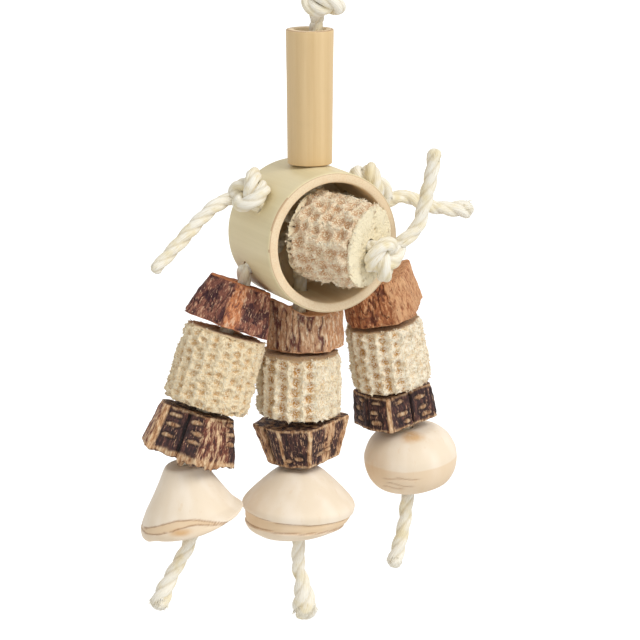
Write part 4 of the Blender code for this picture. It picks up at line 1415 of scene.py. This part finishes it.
def bark_shape(length, seed, cracks, bare_and_lit_faces):
    """Carving of a bark slice: long cracks, plates between them, faces that were split bare, which on the
    middle and right slices face the key and carry painted light in their paler tint.
    """
    size, depth, narrow = cracks
    shift = Vector((seed, 0.0, 0.0))

    def shape(spot, way):
        if math.hypot(spot.x, spot.y) < BEAD_BORE + 0.0012:
            return 0.0, 0.0, 0.0, 0.6
        flank = 1.0 - smooth(abs(way.z), 0.45, 0.8)
        grain = Vector((spot.x * size, spot.y * size, spot.z * size * 0.30 + seed))
        wave = noise.noise(grain) + 0.4 * noise.noise(grain * 2.6)
        crack = smooth(1.0 - abs(wave) * 2.2, narrow, 1.0) * flank
        plate = noise.noise(Vector((spot.x * 230, spot.y * 230, spot.z * 130 + seed)))
        fine = noise.noise(Vector((spot.x * 760, spot.y * 760, spot.z * 330 + seed)))
        angle = angle_of(spot) + 5 * noise.noise(Vector((spot.z * 160, seed, 0.0)))
        bare = max([in_window(angle, start, finish, 5.0) for start, finish in bare_and_lit_faces] + [0.0]) * flank
        end = min(-spot.z, spot.z + length)
        chip = smooth(end, 0.0028, 0.0) * max(0.0, noise.noise(spot * 330 + shift) + 0.15)
        crack = crack * (1.0 - 0.8 * bare)
        push = 0.0005 * plate - depth * crack + flank * (0.0003 * fine - 0.0016 * chip)
        return push, crack, bare, 1.0 - flank

    return shape


def make_bark(side, place, piece, finish, seed, cracks, bare_and_lit_faces, lift):
    """A bark slice. lift raises its top towards -X, where the saw ran out."""
    name = side + "_bark_slice"
    block = sawn_block(name + "_carved", piece["corners"], piece["length"])
    for vertex in block.data.vertices:
        high = smooth(vertex.co.z, -0.0070, -0.0005)
        vertex.co.z += lift * high * smooth(-vertex.co.x, 0.0, 0.012)
    block.data.update()
    carve(block, bark_shape(piece["length"], seed, cracks, bare_and_lit_faces), ("crack", "split", "sawn"))
    set_in_place(block, name, "bark", finish, 50, place)


def pod_shape(length, seed, scars, size, grooves, ridges, streaks):
    """Carving of a pod slice: lens-shaped scars that stand up, deep grooves, and pale ridges. Its mask
    for dark grooves is painted shade, in the grooves and in a ring round each scar.
    """

    def shape(spot, way):
        away = math.hypot(spot.x, spot.y)
        if away < BEAD_BORE + 0.0012:
            return 0.0, 0.2, 0.0, 0.0
        flank = 1.0 - smooth(abs(way.z), 0.45, 0.8)
        angle = angle_of(spot)
        jitter = noise.noise(Vector((spot.x * 420, spot.y * 420, spot.z * 420 + seed)))
        fine = noise.noise(Vector((spot.x * 900, spot.y * 900, spot.z * 300 + seed)))
        scar, lip = 0.0, 0.0
        for turn, down in scars:
            across = math.radians((angle - turn + 180) % 360 - 180) * away
            if abs(across) < 0.005:
                off = math.hypot(across / size[0], (-spot.z - down) / size[1]) + 0.5 * jitter
                scar = max(scar, smooth(off, 1.05, 0.5))
                lip = max(lip, smooth(off, 1.6, 1.2) * smooth(off, 0.8, 1.1))
        sway = 3.0 * noise.noise(Vector((spot.z * 120, seed, 2.0)))
        shaded_groove = max([smooth(apart(angle + sway, turn), 4.5, 0.8) for turn in grooves] + [0.0])
        ridge = max([smooth(apart(angle + 0.6 * sway, turn), 4.5, 1.8) for turn in ridges] + [0.0])
        end = min(-spot.z, spot.z + length)
        rim = smooth(end + 0.0007 * jitter, 0.0016, 0.0004) * flank
        cut_face = (1.0 - flank) * smooth(jitter, -0.2, 0.5) * 0.7
        streak = max([in_window(angle + sway, start, finish, 6.0) for start, finish in streaks] + [0.0])
        chip = smooth(end, 0.0024, 0.0) * max(0.0, noise.noise(spot * 380 + Vector((seed, 0, 0))))
        push = 0.00028 * jitter + flank * (0.00022 * fine - 0.0013 * shaded_groove + 0.0004 * scar - 0.0003 * lip)
        push += flank * (0.0004 * ridge - 0.0014 * chip)
        pale = max(0.68 * scar * flank, ridge * flank, 0.8 * rim, cut_face)
        # The third value is painted shade, in the grooves and in a ring round each raised scar.
        return push, pale, max(shaded_groove, 0.45 * lip) * flank, streak * flank

    return shape


def make_pod(side, place, piece, finish, seed, scars, size, grooves, ridges, streaks, fringe):
    """A pod slice. fringe gives the turns between which torn fibres reach below its foot, and how far."""
    name = side + "_pod_slice"
    length = piece["length"]
    block = sawn_block(name + "_carved", piece["corners"], length)
    for vertex in block.data.vertices:
        spot = vertex.co
        low = smooth(-spot.z, 0.72 * length, length) * smooth(math.hypot(spot.x, spot.y), 0.0085, 0.0125)
        torn = 0.65 + 0.7 * noise.noise(Vector((spot.x * 500, spot.y * 500, seed)))
        for start, finish_turn, reach in fringe:
            spot.z -= reach * torn * low * in_window(angle_of(spot), start, finish_turn, 14.0)
    block.data.update()
    shape = pod_shape(length, seed, scars, size, grooves, ridges, streaks)
    carve(block, shape, ("scar", "shaded_groove", "streak"))
    set_in_place(block, name, "pod", finish, 50, place)


# Wooden tops.

def fine_profile(profile):
    points = smooth_route([Vector((radius, 0.0, down)) for radius, down in profile], 0.0005)
    return [(point.x, point.z) for point in points]


def layer_down(line, angle):
    """How far below the crown the edge of a layer runs at an angle."""
    down, lift, middle, spread = line[:4]
    return down - lift * math.exp(-(apart(angle, middle) / spread) ** 2)


def top_shape(lines, band_depth, tint_lines, stains_and_shade):
    """Carving of a top: thin steps at the layers' edges, a band set back between two, stains, and
    patches of painted shade.
    """

    def shape(spot, way):
        if math.hypot(spot.x, spot.y) < BEAD_BORE + 0.0008:
            return 0.0, 0.0, 0.6, 0.0
        angle = angle_of(spot)
        down = -spot.z + 0.00022 * noise.noise(Vector((spot.x * 260, spot.y * 260, 3.0)))
        edge = 0.0
        for line in lines:
            here = in_window(angle, *line[4], 10.0) if line[4] else 1.0
            edge = max(edge, here * smooth(abs(down - layer_down(line, angle)), 0.00042, 0.00010))
        upper, lower = (layer_down(line, angle) for line in tint_lines)
        band = smooth(down - upper, -0.0003, 0.0003) * smooth(lower - down, -0.0003, 0.0003)
        under = smooth(down - lower, -0.0003, 0.0003)
        # The same list holds real stains and broad patches of painted shade.
        stain_and_shade = 0.0
        for turn, height, half_turn, half_height, strength in stains_and_shade:
            off = math.hypot(apart(angle, turn) / half_turn, (down - height) / half_height)
            stain_and_shade = max(stain_and_shade, strength * smooth(off, 1.2, 0.2))
        return -0.00030 * edge - band_depth * band, edge, max(band, 0.35 * under), stain_and_shade

    return shape


def make_top(side, place, piece, finish, nudge, trim, *marks):
    """A turned top: extruded and scaled ring by ring, with a recess and a bore underneath. It stands
    off its bore's middle by nudge, and trim is how far its foot is pared away at the front."""
    name = side + "_wood_top"
    steps = fine_profile(piece["profile"])
    length = piece["profile"][-1][1]
    first_drop = steps[1][1]
    top = add_cylinder(name + "_turned", 120, steps[0][0], first_drop, (0.0, 0.0, -first_drop / 2))
    edit(top)
    pick_faces(top, lambda spot, way: way.z < -0.9)
    grow = steps[1][0] / steps[0][0]
    bpy.ops.transform.resize(value=(grow, grow, 1.0))
    radius, down = steps[1]
    for next_radius, next_down in steps[2:]:
        bpy.ops.mesh.extrude_region_move(TRANSFORM_OT_translate={"value": (0.0, 0.0, down - next_down)})
        bpy.ops.transform.resize(value=(next_radius / radius, next_radius / radius, 1.0))
        radius, down = next_radius, next_down
    bpy.ops.mesh.inset(thickness=radius - RECESS_RADIUS)
    bpy.ops.mesh.extrude_region_move(TRANSFORM_OT_translate={"value": (0.0, 0.0, STOPPER_RECESS)})
    bpy.ops.mesh.inset(thickness=RECESS_RADIUS - BEAD_BORE)
    pick_faces(top, lambda spot, way: way.z > 0.9 and spot.z > -1e-5)
    bpy.ops.mesh.inset(thickness=steps[0][0] - BEAD_BORE)
    pick_faces(top, lambda spot, way: abs(way.z) > 0.9 and math.hypot(spot.x, spot.y) < 0.0002)
    bpy.ops.mesh.bridge_edge_loops()
    done()
    outward(top)
    cut_from = FOOT_CUT_FROM * length
    for vertex in top.data.vertices:
        share = max(0.0, (-vertex.co.z - cut_from) / (length - cut_from))
        front = in_window(angle_of(vertex.co), 205, 320, 40.0)
        vertex.co.z += (piece["slope"] * vertex.co.x + trim * front) * share
        away = math.hypot(vertex.co.x, vertex.co.y)
        vertex.co.x += nudge * smooth(away, BEAD_BORE + 0.001, RECESS_RADIUS + 0.002)
    carve(top, top_shape(*marks), ("layer", "foot", "stain_and_shade"))
    roughen(top, 0.018, 0.0004)
    set_in_place(top, name, "pale_wood", finish, 40, place)


# The whole toy.

back_way, side_way = set_camera()
set_light(back_way, side_way)
set_floor()

# Each rope's end has the radius of its tip, then its fray: how long, how far spread, how many fibres.
layouts = {side: strand_layout(strand) for side, strand in STRANDS.items()}
left_out = make_side_knot("left", LEFT_KNOT, 1, LEFT_KNOT_TURN, LEFT_TAIL, 0.0027, (0.0012, 0.2, 60), 11)
right_out = make_side_knot("right", RIGHT_KNOT, -1, 0.0, RIGHT_TAIL, 0.0040, (0.0022, 0.35, 120), 21)
make_cob_rope()
make_strand_rope("left", layouts["left"], 0.0042, (0.0024, 0.25, 170), 41)
make_strand_rope("middle", layouts["middle"], 0.0056, (0.0022, 0.30, 190), 51)
make_strand_rope("right", layouts["right"], 0.0037, (0.0010, 0.20, 120), 61)
make_cross_rope("right_cross_rope", math.radians(STRANDS["right"]["angle"]), left_out, (0.0, 0.0050, 0.0050))
make_cross_rope("left_cross_rope", math.radians(STRANDS["left"]["angle"]), right_out, (0.0, 0.0124, 0.0010))
make_hanging_rope()
make_ring()
make_tube()

# Tints of each cob, from 0 to 255: ridges, hollows with their painted shade, chaff, pale chaff, and the
# pith of its sawn ends, darkened to painted shade on the middle and right cobs.
COB_TINTS = {
    "left": ((244, 222, 182), (212, 172, 120), (233, 209, 166), (252, 240, 210), (226, 198, 154)),
    "middle": ((252, 236, 202), (194, 142, 76), (234, 202, 148), (254, 247, 228), (190, 154, 110)),
    "right": ((255, 241, 212), (194, 144, 80), (236, 206, 156), (254, 248, 230), (190, 154, 110)),
    "ring": ((241, 218, 186), (200, 154, 112), (226, 189, 149), (254, 244, 212), (253, 240, 205)),
}
# Kernel sockets of each cob: columns round it, step along a column, half width and half height as
# parts of a column and of a step, depth, and how far each strays. Then the turns between which it is
# worn, on its lit side, where its sockets are shallower and carry less painted shade, how far its
# edges are rounded, and how rough it is.
COB_SOCKETS = {
    "left": ((20, 0.0040, 0.32, 0.30, 0.0009, 0.45), (), 0.0006, 1.2),
    "middle": ((18, 0.0047, 0.40, 0.40, 0.0014, 0.22), ((272, 20),), 0.0005, 0.8),
    "right": ((18, 0.0043, 0.39, 0.39, 0.0013, 0.30), ((268, 20),), 0.0005, 0.8),
    "ring": ((17, 0.0052, 0.46, 0.45, 0.0020, 0.60), (), 0.0020, 0.6),
}
for number, (side, strand) in enumerate(STRANDS.items()):
    place = layouts[side][0]["cob"]
    size = strand["cob"]
    name = side + "_cob"
    finish = cob_finish(name + "_husk", place, *colours(COB_TINTS[side]))
    cob = make_cob(name, place, size["radii"], size["length"], finish, *COB_SOCKETS[side], 3 + number)
    make_chaff(name, cob, place.to_3x3().col[2], 1900, 0.0012, 70 + number)
place = placing(RING_CENTRE + RING_COB_BACK, -ring_cob_way())
finish = cob_finish("ring_cob_husk", place, *colours(COB_TINTS["ring"]))
radii = (RING_COB_RADIUS, RING_COB_RADIUS)
cob = make_cob("ring_cob", place, radii, RING_COB_LENGTH, finish, *COB_SOCKETS["ring"], 9)
make_chaff("ring_cob", cob, ring_cob_way(), 900, 0.0015, 80)

# Tints of each bark slice, from 0 to 255: deep, dark, middle, light, and where it is split bare, which
# on the middle and right slices is partly painted light. Then how gloomy it is.
BARK_TINTS = {
    "left": ((58, 34, 42), (132, 84, 70), (166, 112, 90), (232, 190, 156), (206, 132, 86)),
    "middle": ((100, 54, 58), (198, 152, 118), (228, 190, 152), (249, 228, 198), (212, 154, 108)),
    "right": ((94, 50, 38), (158, 98, 64), (190, 126, 84), (222, 174, 130), (208, 156, 114)),
}
BARK_GLOOM = {"left": 0.07, "middle": -0.08, "right": -0.02}
# Its cracks, as how close, deep and narrow they are, the turns between which it is split bare and
# paler, on the middle and right slices their key-lit faces and so partly painted light, and how far its
# top is lifted.
BARK_MARKS = {
    "left": ((260, 0.0005, 0.72), ((232, 254), (318, 350)), 0.0),
    "middle": ((215, 0.0010, 0.55), ((300, 355),), 0.0056),
    "right": ((300, 0.0006, 0.74), ((262, 20),), 0.0),
}
for number, (side, strand) in enumerate(STRANDS.items()):
    place = layouts[side][0]["bark_slice"]
    finish = bark_finish(side + "_bark", place, BARK_GLOOM[side], *colours(BARK_TINTS[side]))
    make_bark(side, place, strand["bark_slice"], finish, 5.0 + 9 * number, *BARK_MARKS[side])

# Marks on each pod: scars as turn and depth below the top, half width and half height of a scar, then
# the turns of grooves, of pale ridges and of bare streaks, and the fringe of torn fibres at the foot.
LEFT_SCARS = (
    (202, 0.0034), (202, 0.0074), (200, 0.0123), (240, 0.0039), (244, 0.0083), (243, 0.0120), (314, 0.0024),
    (316, 0.0063), (316, 0.0105), (20, 0.0040), (20, 0.0090), (70, 0.0050), (70, 0.0100), (120, 0.0050),
    (120, 0.0110),
)
MIDDLE_SCARS = (
    (218, 0.0148), (240, 0.0138), (285, 0.0131), (309, 0.0126), (20, 0.0130), (75, 0.0135), (130, 0.0130),
)
RIGHT_SCARS = (
    (168, 0.0026), (161, 0.0069), (165, 0.0115), (207, 0.0026), (199, 0.0071), (203, 0.0118), (250, 0.0032),
    (254, 0.0089), (262, 0.0126), (310, 0.0043), (310, 0.0090), (315, 0.0124), (10, 0.0050), (10, 0.0100),
    (60, 0.0050), (60, 0.0100), (115, 0.0050), (115, 0.0100),
)
LEFT_STREAKS = ((150, 184), (254, 310))
LEFT_FRINGE = ((185, 230, 0.0018), (232, 285, 0.0030), (288, 335, 0.0014))
MIDDLE_STREAKS = ((158, 180), (298, 316), (336, 352))
POD_MARKS = {
    "left": (LEFT_SCARS, (0.0029, 0.0011), (222, 345, 40, 95), (187,), LEFT_STREAKS, LEFT_FRINGE),
    "middle": (MIDDLE_SCARS, (0.0024, 0.0011), (178, 60, 110), (209, 260, 342), MIDDLE_STREAKS, ()),
    "right": (RIGHT_SCARS, (0.0028, 0.0011), (186, 280, 345, 35, 90), (230,), (), ()),
}
# How far each pod's skin is rubbed, and the tint of its bare fibre.
POD_BARE = {"left": (0.03, (122, 66, 48)), "middle": (0.07, (176, 128, 90)), "right": (0.03, (120, 74, 52))}
for number, (side, strand) in enumerate(STRANDS.items()):
    place = layouts[side][0]["pod_slice"]
    rubbed, bare_tint = POD_BARE[side]
    finish = pod_finish(side + "_pod", place, rubbed, colour(*bare_tint))
    make_pod(side, place, strand["pod_slice"], finish, 3.0 + 5 * number, *POD_MARKS[side])

# Edges of each top's layers: depth below the crown, how far it lifts, the turn of the lift's middle
# and its spread, and the turns between which the edge is seen, or None for all round.
LEFT_LINES = ((0.0255, 0.0070, 236, 52, None), (0.0255, 0.0049, 247, 40, (165, 300)))
MIDDLE_LINES = ((0.0194, 0.0016, 175, 40, None), (0.0237, 0.0, 0, 90, None))
RIGHT_LINES = (
    (0.0174, 0.0, 0, 90, (212, 228)), (0.0180, 0.0012, 228, 12, (232, 250)),
    (0.0215, 0.0020, 215, 14, (216, 242)), (0.0226, 0.0010, 208, 10, (205, 228)),
)
RIGHT_TINT = ((0.0142, 0.0016, 190, 30), (0.0600, 0.0, 0, 90))
# Stains of each top, with broad painted warm shade on the left of the middle and right tops: turn,
# depth below the crown, half turn, half height, strength.
LEFT_STAINS = ((232, 0.0227, 15, 0.0018, 1.0),)
MIDDLE_PAINTED_SHADE = ((160, 0.0150, 55, 0.0130, 0.30),)
RIGHT_STAINS_AND_SHADE = ((256, 0.0008, 30, 0.0022, 1.0), (160, 0.0130, 65, 0.0140, 0.45))
# How far each top stands off its bore and how far its foot is pared, its layers' edges, the depth of
# the band between two of them, the edges that the darker tint lies between, and its stains and painted
# shade. Then how strong its foot's tint and its layers' edges are.
TOP_MARKS = {
    "left": (-0.0012, 0.0030, LEFT_LINES, 0.0001, LEFT_LINES, LEFT_STAINS),
    "middle": (-0.0002, 0.0, MIDDLE_LINES, 0.0008, MIDDLE_LINES, MIDDLE_PAINTED_SHADE),
    "right": (0.0012, 0.0, RIGHT_LINES, 0.0, RIGHT_TINT, RIGHT_STAINS_AND_SHADE),
}
TOP_STRENGTHS = {"left": 0.9, "middle": 0.9, "right": 0.6}
for side, strand in STRANDS.items():
    place = layouts[side][0]["wood_top"]
    finish = wood_finish(side + "_pale_wood", place, TOP_STRENGTHS[side])
    make_top(side, place, strand["wood_top"], finish, *TOP_MARKS[side])
